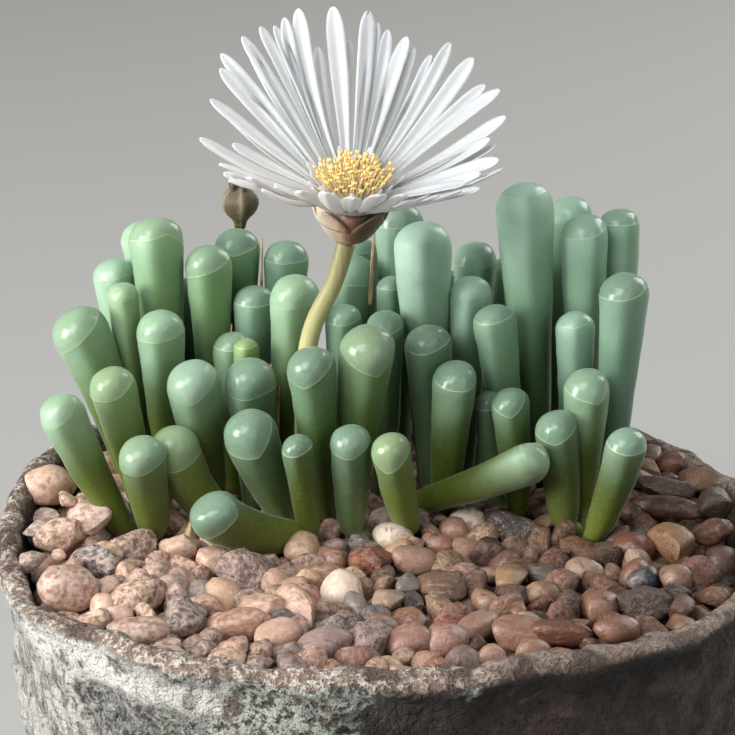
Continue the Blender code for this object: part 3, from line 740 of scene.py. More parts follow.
def bowl_outline():
    """Fine outline from the foot, up the outside, over the lip and down to the floor.

    Each point is (radius, height, how near it is to the lip's edge, whether it is inside).
    """
    points = [(BOWL_FOOT_RADIUS * step / 8, 0.0, 0.0, 0.0) for step in range(1, 8)]
    points += [(BOWL_FOOT_RADIUS + out, up, 0.0, 0.0) for out, up in FOOT_CURVE]
    for z in np.linspace(WALL_START, WALL_END, 40):
        near_lip = 0.6 * ease(z, BOWL_HEIGHT - 11, BOWL_HEIGHT - 3)
        points.append((inner_radius(z) + WALL, z, near_lip, 0.0))
    middle = BOWL_TOP_RADIUS - LIP_INSET
    for step in range(17):
        turn = math.radians(-20 + 200 * step / 16)
        out = middle + LIP_HALF_WIDTH * math.cos(turn)
        up = BOWL_HEIGHT - LIP_HALF_HEIGHT + LIP_HALF_HEIGHT * math.sin(turn)
        points.append((out, up, 0.6 + 0.4 * ease(step, 0, 6), ease(step, 11, 15)))
    points += [
        (inner_radius(z), z, 0.0, 1.0)
        for z in np.linspace(BOWL_HEIGHT - 4.0, FLOOR_LEVEL + 5, 14)
    ]
    floor_edge = inner_radius(FLOOR_LEVEL) - 5.0
    points += [(floor_edge + 3.2, FLOOR_LEVEL + 2.0, 0.0, 1.0), (floor_edge, FLOOR_LEVEL, 0.0, 1.0)]
    return points


def bowl_point(radius, z, turn, relief):
    """A point of the bowl with the wave of its rim and the lumps of its hand-made wall."""
    lift = max(0.0, (z - BOWL_HEIGHT + RIM_DEPTH) / RIM_DEPTH) ** 2
    point = Vector((radius * math.cos(turn), radius * math.sin(turn), z))
    point.z += lift * wave_at(RIM_WAVES, turn / (2 * math.pi))
    outward = heading(turn)
    above_foot = ease(z, 0.5, 8.0)
    lumps = 1.3 * rough(point, 14.0) + 0.8 * rough(point + upwards(90), 5.5)
    lumps += 0.40 * rough(point + Vector((50, 0, 0)), 2.4)
    lumps += 0.35 * rough((outward.x * 2, outward.y * 2, point.z / 3.2), 1.0)
    point += outward * relief * lumps * above_foot
    near_rim = ease(z, BOWL_HEIGHT - 7.0, BOWL_HEIGHT)
    uneven = 0.9 * rough(point, 8.0) + 0.55 * rough(point, 3.6) + 0.30 * rough(point, 1.8)
    point.z += near_rim * uneven
    point -= outward * near_rim * 0.6 * rough(point + Vector((0, 70, 0)), 4.5)
    return point


def clay_finish(settings):
    """Thick milky glaze on the left, which breaks up over dark glaze and bare brown clay."""
    material, tree, shader = new_finish("bowl_glaze", roughness=0.55)
    place = coordinates(tree)
    inside = attribute(tree, "inside")
    edge = attribute(tree, "edge")
    wide = cloud(tree, place, 15.0, detail=7.0, roughness=0.6, distortion=0.6)
    patchy = cloud(tree, place, 5.0, detail=6.0, roughness=0.65, distortion=0.4)
    fine = cloud(tree, place, 1.1, detail=4.0, roughness=0.7)
    runs = cloud(tree, coordinates(tree, (2.0, 2.0, 9.0)), 1.0, detail=4.0, distortion=0.6)
    across = plus(tree, coordinate(tree, "X"), swung(tree, wide, 90.0))
    across = plus(tree, across, swung(tree, patchy, 44.0))
    pale_side = spread(tree, across, -22.0, -32.0)
    lace_side = spread(tree, across, 6.0, -5.0)
    brown = ramp(tree, patchy, (
        (0.30, (0.012, 0.008, 0.006)), (0.5, settings.clay), (0.70, (0.115, 0.076, 0.058)),
    ))
    lace = times(tree, spread(tree, fine, 0.42, 0.52), spread(tree, patchy, 0.40, 0.50))
    dark = over(tree, settings.dark_glaze, (0.13, 0.092, 0.074), runs, 0.50, 0.62)
    dark = mixed(tree, lace, dark, (0.40, 0.42, 0.37))
    stain = times(tree, spread(tree, patchy, 0.47, 0.57), spread(tree, fine, 0.38, 0.52))
    milky = mixed(tree, stain, settings.pale_glaze, (0.20, 0.185, 0.165))
    milky = over(tree, milky, (0.22, 0.185, 0.15), runs, 0.52, 0.64, 0.8)
    milky = over(tree, milky, (0.20, 0.195, 0.18), wide, 0.48, 0.58, 0.75)
    milky = over(tree, milky, (0.06, 0.052, 0.045), fine, 0.60, 0.68)
    mottled = over(tree, (0.30, 0.295, 0.275), (0.05, 0.045, 0.040), fine, 0.40, 0.58)
    beside_white = spread(tree, across, -48.0, -36.0)
    mottled_side = times(tree, beside_white, spread(tree, patchy, 0.70, 0.52))
    milky = mixed(tree, mottled_side, milky, mottled)
    thick = times(tree, spread(tree, edge, 0.05, 0.35), spread(tree, edge, 0.75, 0.55))
    thick = times(tree, thick, spread(tree, patchy, 0.62, 0.52))
    thick = times(tree, thick, spread(tree, across, -22.0, -40.0, 0.25, 1.0))
    milky = mixed(tree, thick, milky, (0.68, 0.66, 0.61))
    # Painted shade: a near-black band, in patches, under the lip's overhang
    ragged = plus(tree, edge, swung(tree, wide, 1.6))
    under_lip = times(tree, spread(tree, ragged, 0.0, 0.45), spread(tree, edge, 0.80, 0.60))
    painted_shade_under_lip = times(tree, under_lip, spread(tree, patchy, 0.40, 0.55))
    brown = mixed(tree, painted_shade_under_lip, brown, (0.010, 0.007, 0.005))
    glaze = mixed(tree, lace_side, brown, dark)
    glaze = mixed(tree, pale_side, glaze, milky)
    lip = spread(tree, plus(tree, edge, times(tree, fine, 0.25)), 0.76, 0.98)
    worn = over(tree, (0.23, 0.155, 0.120), settings.crust, fine, 0.38, 0.60)
    worn = over(tree, worn, (0.12, 0.083, 0.066), patchy, 0.52, 0.42)
    glaze = mixed(tree, lip, glaze, worn)
    white_crust = times(tree, spread(tree, fine, 0.48, 0.58), spread(tree, patchy, 0.42, 0.54))
    white_crust = times(tree, white_crust, spread(tree, across, 14.0, -8.0, 0.15, 1.0))
    glaze = mixed(tree, times(tree, lip, white_crust), glaze, (0.62, 0.57, 0.50))
    hidden = over(tree, brown, (0.13, 0.10, 0.08), fine, 0.5, 0.7)
    glaze = mixed(tree, inside, glaze, hidden)
    tree.links.new(glaze, shader.inputs["Base Color"])
    tree.links.new(spread(tree, fine, 0.3, 0.7, 0.38, 0.75), shader.inputs["Roughness"])
    shader.inputs["Specular IOR Level"].default_value = 0.35
    bump(tree, shader, patchy, 2.2)
    bump(tree, shader, cloud(tree, place, 2.2, detail=3.0, roughness=0.6), 1.0)
    bump(tree, shader, fine, 0.9)
    return material


class BABYTOES_OT_bowl(bpy.types.Operator):
    """Hand-made bowl with an uneven rim"""
    bl_idname = "babytoes.bowl"
    bl_label = "Bowl"

    def execute(self, context):
        settings = context.scene.babytoes_bowl
        shape = Shape("edge", "inside")
        rings, edges, insides = [], [], []
        turns = turns_about(settings.sides)
        for radius, z, edge, inside in bowl_outline():
            rings.append([bowl_point(radius, z, turn, settings.relief / MM) for turn in turns])
            edges += [edge] * settings.sides
            insides += [inside] * settings.sides
        floor = upwards(FLOOR_LEVEL)
        shape.add_rings(rings, end=floor, edge=edges + [0.0], inside=insides + [1.0])
        finish_piece(shape.build("bowl", clay_finish(settings)), "pot", "pot")
        return {"FINISHED"}


# Soil and gravel


class GravelSettings(bpy.types.PropertyGroup):
    count: IntProperty(name="Stones", description="Stones poured in", default=860, min=50)
    smallest: FloatProperty(
        name="Smallest", description="Length of the smallest stones", default=0.0034, unit="LENGTH",
    )
    largest: FloatProperty(
        name="Largest", description="Length of the largest stones", default=0.0074, unit="LENGTH",
    )
    size: FloatProperty(name="Size", description="Scale of every stone", default=1.0)
    forms: IntProperty(name="Forms", description="Shapes of each kind of stone", default=7, min=2)
    seed: IntProperty(name="Seed", description="Draw of the stones", default=11)


def soil_finish():
    """Dark crumbly soil."""
    material, tree, shader = new_finish("potting_soil", roughness=0.95)
    place = coordinates(tree)
    crumbs = cloud(tree, place, 1.4, detail=6.0, roughness=0.7)
    colour = ramp(tree, crumbs, (
        (0.3, (0.008, 0.006, 0.005)), (0.55, (0.030, 0.021, 0.015)), (0.8, (0.075, 0.050, 0.034)),
    ))
    tree.links.new(colour, shader.inputs["Base Color"])
    bump(tree, shader, crumbs, 0.6)
    return material


STONE_COLOURS = (
    (0.00, (0.66, 0.54, 0.44)), (0.06, (0.47, 0.35, 0.26)), (0.12, (0.44, 0.29, 0.17)),
    (0.17, (0.35, 0.22, 0.14)), (0.23, (0.41, 0.25, 0.18)), (0.29, (0.45, 0.27, 0.21)),
    (0.35, (0.29, 0.145, 0.095)), (0.41, (0.22, 0.125, 0.085)), (0.47, (0.13, 0.077, 0.053)),
    (0.53, (0.27, 0.18, 0.155)), (0.59, (0.36, 0.25, 0.22)), (0.65, (0.21, 0.18, 0.16)),
    (0.71, (0.13, 0.115, 0.103)), (0.77, (0.080, 0.070, 0.066)), (0.83, (0.24, 0.14, 0.10)),
    (0.89, (0.055, 0.10, 0.17)), (0.93, (0.33, 0.12, 0.07)),
)
# Shares of stones by tint, as (share, lowest tint, highest tint)
STONE_SHARES = (
    (0.06, 0.00, 0.12), (0.19, 0.12, 0.23), (0.28, 0.23, 0.35), (0.15, 0.35, 0.47),
    (0.09, 0.47, 0.53), (0.12, 0.53, 0.65), (0.08, 0.65, 0.83), (0.03, 0.83, 0.88),
    (0.01, 0.94, 1.00),
)


def stone_finish():
    """Quartz and sandstone: one tint a stone, with blotches, veins, specks and pits."""
    material, tree, shader = new_finish("river_gravel", roughness=0.5)
    place = coordinates(tree)
    tint = attribute(tree, "tint")
    grain = attribute(tree, "grain")
    dust = attribute(tree, "dust")
    blotch = cloud(tree, place, 2.2, detail=4.0, distortion=0.6)
    fine = cloud(tree, place, 0.42, detail=4.0, roughness=0.7)
    lumps = cloud(tree, place, 0.95, detail=2.0, roughness=0.5)
    band = cloud(tree, coordinates(tree, (2.6, 0.6, 0.6)), 1.0, detail=3.0, distortion=1.2)
    own = ramp(tree, tint, STONE_COLOURS, "CONSTANT")
    shifted = maths(tree, "FRACT", plus(tree, tint, 0.11))
    other = mixed(tree, 0.45, own, ramp(tree, shifted, STONE_COLOURS, "CONSTANT"))
    colour = over(tree, own, other, blotch, 0.48, 0.60)
    lighter = mixed(tree, 0.5, own, (0.62, 0.50, 0.42))
    colour = over(tree, colour, lighter, band, 0.54, 0.66, 0.75)
    deep = tinted(tree, own, (0.45, 0.36, 0.32))
    colour = over(tree, colour, deep, blotch, 0.42, 0.30, 0.8)
    darker = tinted(tree, colour, (0.30, 0.24, 0.22))
    pits = times(tree, spread(tree, lumps, 0.54, 0.32, 0.0, 0.7), spread(tree, grain, 0.1, 0.6))
    colour = mixed(tree, pits, colour, darker)
    specks = times(tree, spread(tree, fine, 0.54, 0.68), spread(tree, grain, 0.0, 0.8, 0.30, 1.0))
    colour = mixed(tree, specks, colour, darker)
    pale_specks = times(tree, spread(tree, fine, 0.42, 0.30), spread(tree, grain, 0.3, 1.0))
    colour = mixed(tree, pale_specks, colour, (0.60, 0.50, 0.44))
    # Painted shade and painted light: stones on the right are darkened as if damp and shaded, those on
    # the left and at the back brightened as if dusty and lit
    damp_and_shaded = tinted(tree, colour, (0.44, 0.35, 0.30))
    colour = mixed(tree, steady(tree, dust, 0.0, 0.5), damp_and_shaded, colour)
    dusty_and_lit = steady(tree, dust, 0.5, 1.0)
    painted_sunlit = tinted(tree, colour, (1.40, 1.28, 1.20))
    colour = mixed(tree, dusty_and_lit, colour, painted_sunlit)
    powder = times(tree, dusty_and_lit, spread(tree, lumps, 0.38, 0.62, 0.10, 0.60))
    colour = mixed(tree, powder, colour, (0.74, 0.59, 0.50))
    tree.links.new(colour, shader.inputs["Base Color"])
    tree.links.new(spread(tree, grain, 0.0, 1.0, 0.34, 0.70), shader.inputs["Roughness"])
    soften(shader, 0.05, 0.001)
    worn = spread(tree, grain, 0.1, 0.9, 0.25, 1.0)
    bump(tree, shader, times(tree, fine, worn), 0.30)
    bump(tree, shader, times(tree, lumps, worn), 0.6)
    return material


def stone_form(name, draw, divisions, kind, finish):
    """One stone of about unit size: water-worn, broken with flat faces, or crumbly."""
    shape = bmesh.new()
    bmesh.ops.create_cube(shape, size=2.0)
    bmesh.ops.subdivide_edges(shape, edges=shape.edges, cuts=divisions - 1, use_grid_fill=True)
    flats = []
    cuts, cut_share, crumble = STONE_KINDS[kind]
    for _ in range(cuts):
        direction = Vector((draw.gauss(0, 1), draw.gauss(0, 1), draw.gauss(0, 1))).normalized()
        flats.append((direction, draw.uniform(0.58, 0.86)))
    shift = Vector((draw.uniform(0, 90), draw.uniform(0, 90), draw.uniform(0, 90)))
    swell = draw.uniform(0.12, 0.24)
    egg = draw.uniform(-0.22, 0.22)
    for vertex in shape.verts:
        direction = vertex.co.normalized()
        point = direction * (1.05 + swell * rough(direction + shift, 0.9))
        for flat, depth in flats:
            over = point.dot(flat) - depth
            if over > 0:
                point -= flat * over * cut_share
        point += direction * crumble * rough(direction + shift, 0.32)
        point.y *= 1.0 + egg * point.x
        vertex.co = point
    mesh = bpy.data.meshes.new(name)
    shape.to_mesh(mesh)
    shape.free()
    mesh.shade_smooth()
    if kind == BROKEN:
        mesh.set_sharp_from_angle(angle=math.radians(38))
    mesh.materials.append(finish)
    return bpy.data.objects.new(name, mesh)


def stone_forms(fineness, count, seed, finish):
    """So many forms of each kind of stone, all of them once for each number of divisions."""
    forms = []
    for divisions in fineness:
        draw = random.Random(seed)
        for number in range(count * len(STONE_KINDS)):
            name = f"form_{divisions}_{number:02d}"
            forms.append(stone_form(name, draw, divisions, number // count, finish))
    return forms


def stone_kind(rugged, limits):
    """Kind of stone for a ruggedness from 0 to 1."""
    if rugged < limits[0]:
        return WATER_WORN
    return BROKEN if rugged < limits[1] else CRUMBLY


def scatter_tree(name, forms, finish):
    """Stands one of the forms on each point, by the point's form, turn and stretch values."""
    tree = bpy.data.node_groups.new(name, "GeometryNodeTree")
    tree.interface.new_socket("Points", in_out="INPUT", socket_type="NodeSocketGeometry")
    size = tree.interface.new_socket("Size", in_out="INPUT", socket_type="NodeSocketFloat")
    size.default_value = 1.0
    seed = tree.interface.new_socket("Seed", in_out="INPUT", socket_type="NodeSocketInt")
    tree.interface.new_socket("Pieces", in_out="OUTPUT", socket_type="NodeSocketGeometry")
    given = node(tree, "NodeGroupInput").outputs
    picked = node(tree, "GeometryNodeCollectionInfo", {
        "Collection": forms, "Separate Children": True, "Reset Children": True,
    }).outputs[0]
    form = node(tree, "GeometryNodeInputNamedAttribute", {"Name": "form"}, data_type="INT")
    turn = node(tree, "GeometryNodeInputNamedAttribute", {"Name": "turn"}, data_type="FLOAT_VECTOR")
    long = node(tree, "GeometryNodeInputNamedAttribute", {"Name": "long"}, data_type="FLOAT_VECTOR")
    turned = node(tree, "FunctionNodeEulerToRotation", {0: turn.outputs[0]}).outputs[0]
    vary = node(tree, "FunctionNodeRandomValue", {"Seed": given["Seed"]}, data_type="FLOAT")
    vary.inputs[2].default_value = 1.0 - SIZE_SWING
    vary.inputs[3].default_value = 1.0 + SIZE_SWING
    scale = node(tree, "ShaderNodeMath", {0: vary.outputs[1], 1: given["Size"]}, operation="MULTIPLY")
    stretched = node(
        tree, "ShaderNodeVectorMath", {0: long.outputs[0], 1: scale.outputs[0]}, operation="MULTIPLY"
    )
    stood = node(tree, "GeometryNodeInstanceOnPoints", {
        "Points": given["Points"], "Instance": picked, "Pick Instance": True,
        "Instance Index": form.outputs[0], "Rotation": turned, "Scale": stretched.outputs[0],
    }).outputs[0]
    real = node(tree, "GeometryNodeRealizeInstances", {0: stood}).outputs[0]
    dressed = node(tree, "GeometryNodeSetMaterial", {"Geometry": real, "Material": finish}).outputs[0]
    shown = node(tree, "NodeGroupOutput")
    tree.links.new(dressed, shown.inputs[0])
    return tree, size.identifier, seed.identifier


def scatter(name, spots, forms, finish, size=1.0, seed=0):
    """A mesh of forms on spots; a spot is (place, form, turn as angles, stretch, other values)."""
    places, picks, turns, stretches, values = zip(*spots)
    group = bpy.data.collections.new(name + "_forms")
    for form in forms:
        group.objects.link(form)
    mesh = bpy.data.meshes.new(name)
    mesh.from_pydata([Vector(place) * MM for place in places], [], [])
    mesh.attributes.new("form", "INT", "POINT").data.foreach_set("value", picks)
    for label, rows, scale in (("turn", turns, 1.0), ("long", stretches, MM)):
        layer = mesh.attributes.new(label, "FLOAT_VECTOR", "POINT")
        layer.data.foreach_set("vector", [part * scale for row in rows for part in row])
    for label in values[0]:
        layer = mesh.attributes.new(label, "FLOAT", "POINT")
        layer.data.foreach_set("value", [given[label] for given in values])
    holder = bpy.data.objects.new(name + "_points", mesh)
    bpy.context.scene.collection.objects.link(holder)
    tree, size_socket, seed_socket = scatter_tree(name, group, finish)
    step = holder.modifiers.new("scatter", "NODES")
    step.node_group = tree
    step[size_socket] = size
    step[seed_socket] = seed
    bpy.context.view_layer.update()
    graph = bpy.context.evaluated_depsgraph_get()
    result = bpy.data.meshes.new_from_object(holder.evaluated_get(graph))
    made = bpy.data.objects.new(name, result)
    holder.modifiers.remove(step)
    for old in [holder, *group.objects]:
        bpy.data.objects.remove(old, do_unlink=True)
    bpy.data.collections.remove(group)
    bpy.data.node_groups.remove(tree)
    bpy.context.scene.collection.objects.link(made)
    return made


def gravel_level(x, y):
    """Level of the gravel's surface, which rises towards the wall, most of all at the back."""
    turn = math.atan2(y, x) / (2 * math.pi) % 1.0
    brim = BOWL_HEIGHT - 0.9 + 0.7 * wave_at(RIM_WAVES, turn)
    at_wall = GRAVEL_EDGE + (brim - GRAVEL_EDGE) * ease(y, *BACK_RISE)
    return GRAVEL_MIDDLE + (at_wall - GRAVEL_MIDDLE) * ease(math.hypot(x, y), *WALL_RISE)


def leaf_balls():
    """Balls that stand for the lower leaves, which the gravel lies against."""
    balls = []
    for root, leaves in HEADS.values():
        balls.append((*root, CROWN_LEVEL - 1, 3.4))
        for leaf in leaves:
            base, middle, tip = leaf_axis(leaf)
            for step in range(9):
                share = step / 8
                point = axis_point(base, middle, tip, share)
                if point.z < GRAVEL_EDGE + 7:
                    radius = leaf.width / 2 * body_width(share * 1.05, (tip - base).length)
                    balls.append((*point, radius))
            low = Vector((*root, CROWN_LEVEL)).lerp(base, 0.6)
            balls.append((*low, leaf.width * 0.22))
    return balls


def settle(fixed, loose):
    """Lets loose balls sink and push each other apart until they lie close; gives their places."""
    balls = np.array(fixed + loose, float)
    places = balls[:, :3].copy()
    radii = balls[:, 3].copy()
    free = np.arange(len(balls)) >= len(fixed)
    reach = radii[:, None] + radii[None, :]
    share = np.where(free[:, None] & free[None, :], 0.5, 1.0)
    for step in range(SETTLE_ROUNDS):
        places[free, 2] -= SINK * (1 - step / SETTLE_ROUNDS)
        away = places[:, None, :] - places[None, :, :]
        gap = np.sqrt((away**2).sum(2)) + 1e-6
        overlap = np.clip(reach * NEAREST - gap, 0, None)
        np.fill_diagonal(overlap, 0)
        push = (away / gap[:, :, None] * (overlap * share)[:, :, None]).sum(1)
        length = np.sqrt((push**2).sum(1)) + 1e-6
        push *= np.minimum(1.0, LONGEST_PUSH / length)[:, None]
        places[free] += PUSH_SHARE * push[free]
        out = np.sqrt((places[:, :2] ** 2).sum(1))
        level = np.array([gravel_level(x, y) for x, y in places[:, :2]])
        lowest = GRAVEL_FLOOR + 0.6 * (level - GRAVEL_MIDDLE) + 0.7 * radii
        highest = level - 0.8 * radii
        places[free, 2] = np.clip(places[free, 2], lowest[free], highest[free])
        wall = np.array([inner_radius(z) for z in places[:, 2]]) - 0.5 - 0.95 * radii
        too_far = free & (out > wall)
        places[too_far, :2] *= (wall[too_far] / out[too_far])[:, None]
    return places[free]


def dust_and_light_at(spot, draw):
    """How dusty a stone is, and how much painted light it gets: damp and darkened as painted shade on
    the right, powdery and brightened as painted light on the left and at the back.
    """
    dust = 0.42 - spot[0] / 62 + max(0.0, spot[1]) / 50 + draw.uniform(-0.16, 0.16)
    return max(0.0, min(1.0, dust))


def pick_tint(draw):
    """Tint of a poured stone, by the shares of the colours."""
    chance = draw.random() * sum(share for share, _, _ in STONE_SHARES)
    for share, low, high in STONE_SHARES:
        chance -= share
        if chance <= 0:
            return draw.uniform(low, high - 0.005)
    return STONE_SHARES[0][1]


def known_stones():
    """The stones that the photograph shows, with their places at the top of the gravel."""
    stones = []
    for x, y, length, breadth, turn, tint, rugged in KNOWN_STONES:
        spot = level_spot(x, y, GRAVEL_MIDDLE)
        spot = level_spot(x, y, gravel_level(spot.x, spot.y) - 0.18 * breadth)
        stones.append((spot, length, breadth, turn, tint, rugged))
    return stones


def poured_stones(settings, draw):
    """Loose stones over the whole bowl before they settle, each as (place, length)."""
    edge = inner_radius(BOWL_HEIGHT) - 3.0
    stones = []
    for number in range(settings.count):
        length = draw.triangular(settings.smallest, settings.largest, settings.smallest * 1.5) / MM
        out = edge * math.sqrt((number + 0.5) / settings.count)
        turn = math.radians(GOLDEN_ANGLE) * number
        height = GRAVEL_FLOOR + 2.0 + draw.uniform(0, POUR_DEPTH)
        stones.append(((out * math.cos(turn), out * math.sin(turn), height), length))
    return stones


class BABYTOES_OT_gravel(bpy.types.Operator):
    """Soil and the gravel that lies on it"""
    bl_idname = "babytoes.gravel"
    bl_label = "Soil and gravel"

    def execute(self, context):
        settings = context.scene.babytoes_gravel
        draw = random.Random(settings.seed)
        soil = frame["nodes"]["soil"].data
        soil.materials.clear()
        soil.materials.append(soil_finish())
        known = known_stones()
        poured = poured_stones(settings, draw)
        fixed = [(*spot, 0.25 * (length + breadth)) for spot, length, breadth, *_ in known]
        loose = [(*place, 0.42 * length) for place, length in poured]
        settled = settle(fixed + leaf_balls(), loose)
        forms = settings.forms
        top, under = [], []
        for spot, length, breadth, turn, tint, rugged in known:
            kind = len(STONE_KINDS) + stone_kind(rugged, KNOWN_LIMITS)
            form = kind * forms + draw.randrange(forms)
            stretch = (length * 0.52, breadth * 0.52, breadth * draw.uniform(0.40, 0.48))
            lean = draw.uniform(-0.1, 0.45)
            angles = (lean, draw.uniform(-0.25, 0.25), math.radians(turn))
            values = {"tint": tint, "grain": rugged, "dust": dust_and_light_at(spot, draw)}
            top.append((spot, form, angles, stretch, values))
        for place, (_, length) in zip(settled, poured):
            rugged = draw.random()
            form = stone_kind(rugged, POURED_LIMITS) * forms + draw.randrange(forms)
            breadth = length * draw.uniform(0.66, 0.95)
            stretch = (length * 0.54, breadth * 0.54, breadth * draw.uniform(0.36, 0.50))
            angles = (draw.gauss(0, 0.5), draw.gauss(0, 0.5), draw.uniform(0, 6.28))
            values = {"tint": pick_tint(draw), "grain": rugged, "dust": dust_and_light_at(place, draw)}
            layer = top if place[2] > gravel_level(*place[:2]) - TOP_LAYER else under
            layer.append((place, form, angles, stretch, values))
        finish = stone_finish()
        layers = (("top", top, TOP_DIVISIONS, ["gravel"]), ("under", under, UNDER_DIVISIONS, []))
        for label, spots, fineness, nodes in layers:
            shapes = stone_forms(fineness, forms, settings.seed + 1, finish)
            piece = scatter(f"gravel_{label}", spots, shapes, finish, settings.size, settings.seed)
            finish_piece(piece, "gravel", *nodes)
        return {"FINISHED"}


# Leaves


class LeafSettings(bpy.types.PropertyGroup):
    sides: IntProperty(name="Sides", description="Points round a leaf", default=36, min=12)
    unevenness: FloatProperty(
        name="Unevenness", description="Height of the soft dents in the skin",
        default=0.00018, unit="LENGTH",
    )
    # The tallest leaves' skin colour is lightened there as painted light
    skin: FloatVectorProperty(
        name="Skin", description="Colour of the tallest leaves' skin", size=3, subtype="COLOR",
        default=(0.140, 0.295, 0.135),
    )
    foot: FloatVectorProperty(
        name="Foot", description="Colour near the gravel", size=3, subtype="COLOR",
        default=(0.115, 0.135, 0.012),
    )
    window: FloatVectorProperty(
        name="Window", description="Colour of the window at the tip", size=3, subtype="COLOR",
        default=(0.155, 0.235, 0.160),
    )
    # The bloom's pale colour also serves as painted light on the lit sides of the leaves
    bloom: FloatVectorProperty(
        name="Bloom", description="Colour of the waxy bloom", size=3, subtype="COLOR",
        default=(0.460, 0.650, 0.540),
    )


def leaf_axis(leaf):
    """Base, control point and tip of the leaf's curved axis."""
    base = Vector((leaf.base_x, leaf.base_y, LEAF_LEVEL))
    tip = Vector((leaf.tip_x, leaf.tip_y, leaf.tip_z))
    middle = base.lerp(tip, 0.5 - leaf.bend)
    middle.z = base.z + (tip.z - base.z) * (0.5 + 0.5 * leaf.bend)
    return base, middle, tip


def axis_point(base, middle, tip, share):
    """Point at a share of the way along a leaf's curved axis."""
    return base * (1 - share) ** 2 + middle * 2 * share * (1 - share) + tip * share**2


def body_width(share, length):
    """Share of the half width along the body; long leaves taper more towards the base."""
    tall = ease(length, 22.0, 44.0)
    share = max(0.0, min(1.0, share))
    bend = 0.5 + 0.35 * ease(length, 17.0, 24.0) + 0.35 * tall
    return 0.54 - 0.08 * tall + (0.46 + 0.08 * tall) * share**bend


def dome_width(back):
    """Share of the half width at that many half widths back from the tip."""
    if back >= 1.0:
        return 1.0
    return (1 - (1 - back) ** 2.2) ** (1 / 2.2)


def window_edge(turn, marks, corner):
    """How far below the tip the window ends at a turn from the flat side, in half widths."""
    left, middle, right = marks
    turn = math.degrees(math.atan2(math.sin(turn), math.cos(turn)))
    if turn < corner:
        edge = middle + (left - middle) * min(1.0, (corner - turn) / (90 + corner))
    else:
        edge = middle + (right - middle) * min(1.0, (turn - corner) / (90 - corner))
    behind = ease(abs(turn), 90, 160)
    return max(0.15, edge + (BACK_OF_WINDOW - edge) * behind)


def add_leaf(shape, root, leaf, sides, unevenness):
    """Adds one leaf: domed window, raised crease, flattened body and narrow foot."""
    half = leaf.width / 2
    direction = math.radians(leaf.direction)
    facing = heading(direction)
    base, middle, tip = leaf_axis(leaf)
    length = (tip - base).length
    dome_share = 1.0 - half / length
    turns = turns_about(sides)
    edges = [half * window_edge(turn, leaf.marks, leaf.corner) for turn in turns]
    flat_turn = math.radians(FLAT_TURN + FLAT_TURN_PER_MM * leaf.tip_x)

    def ring(backs, flatness, raised=0.0):
        """Points round the leaf, each at its own distance back from the tip."""
        points = []
        for turn, back in zip(turns, backs):
            share = 1.0 - back / length
            width = half * body_width(share / dome_share, length) * dome_width(back / half)
            width += raised * ease(math.cos(turn), -0.6, 0.2)
            centre = axis_point(base, middle, tip, share)
            along = (middle - base) * (1 - share) + (tip - middle) * share
            front, across = axes_about(along, facing)
            outward = front * math.cos(turn) + across * math.sin(turn)
            over = math.cos(turn - flat_turn) - FLAT_START
            if over > 0:
                room = FLAT_SIDE - FLAT_START
                pressed = over - room * (1 - math.exp(-over / room))
                flat_way = front * math.cos(flat_turn) + across * math.sin(flat_turn)
                outward -= flat_way * pressed * flatness * 0.85
            point = centre + width * outward
            dents = rough(point, 4.5) + 0.5 * rough(point + Vector((0, 40, 0)), 1.8)
            points.append(point + outward * dents * unevenness)
        return points

    rows, window, crease, along_leaf, face = [], [], [], [], []

    def keep(points, is_window, is_crease, backs, faced=1.0):
        """Adds a row of points with its values for the finish."""
        rows.append(points)
        window.extend([is_window] * sides)
        crease.extend([is_crease * ease(math.cos(turn), -0.5, 0.1) for turn in turns])
        face.extend([faced * ease(math.cos(turn - flat_turn), 0.18, 0.92) for turn in turns])
        along_leaf.extend([1.0 - back / length for back in backs])

    crown = Vector((*root, CROWN_LEVEL))
    neck = crown.lerp(base, 0.12)
    neck_front, neck_across = axes_about(base - crown, facing)
    for row in range(NECK_ROWS):
        share = row / NECK_ROWS
        centre = neck.lerp(base, share)
        width = half * (0.36 + (body_width(0, length) - 0.36) * ease(share, 0, 1))
        ring_points = []
        for turn in turns:
            outward = neck_front * math.cos(turn) + neck_across * math.sin(turn)
            ring_points.append(centre + width * outward)
        keep(ring_points, 0.0, 0.0, [length * (1.0 + 0.1 * (1 - share))] * sides)
    for row in range(SHAFT_ROWS + 1):
        share = 1 - (1 - row / SHAFT_ROWS) ** 1.8
        backs = [length + (edge + CREASE_HALF - length) * share for edge in edges]
        keep(ring(backs, 0.4 + 0.5 * share), 0.0, 0.0, backs)
    raised = CREASE_RAISED * (1 - 0.7 * leaf.bloom)
    keep(ring(edges, 0.9, raised), 0.5, 1.0, edges, 0.75)
    for row in range(CAP_ROWS):
        share = 1 - row / CAP_ROWS
        reach = 1 - math.cos(math.pi / 2 * share)
        backs = [(edge - CREASE_HALF) * reach for edge in edges]
        keep(ring(backs, 0.9 * ease(share, 0.0, 1.0)), 1.0, 0.0, backs, 0.55 * share)
    shape.add_rings(
        rows, end=tip,
        window=window + [1.0], crease=crease + [0.0], along=along_leaf + [1.0], face=face + [0.0],
        tone=leaf.tone, bloom=leaf.bloom,
    )


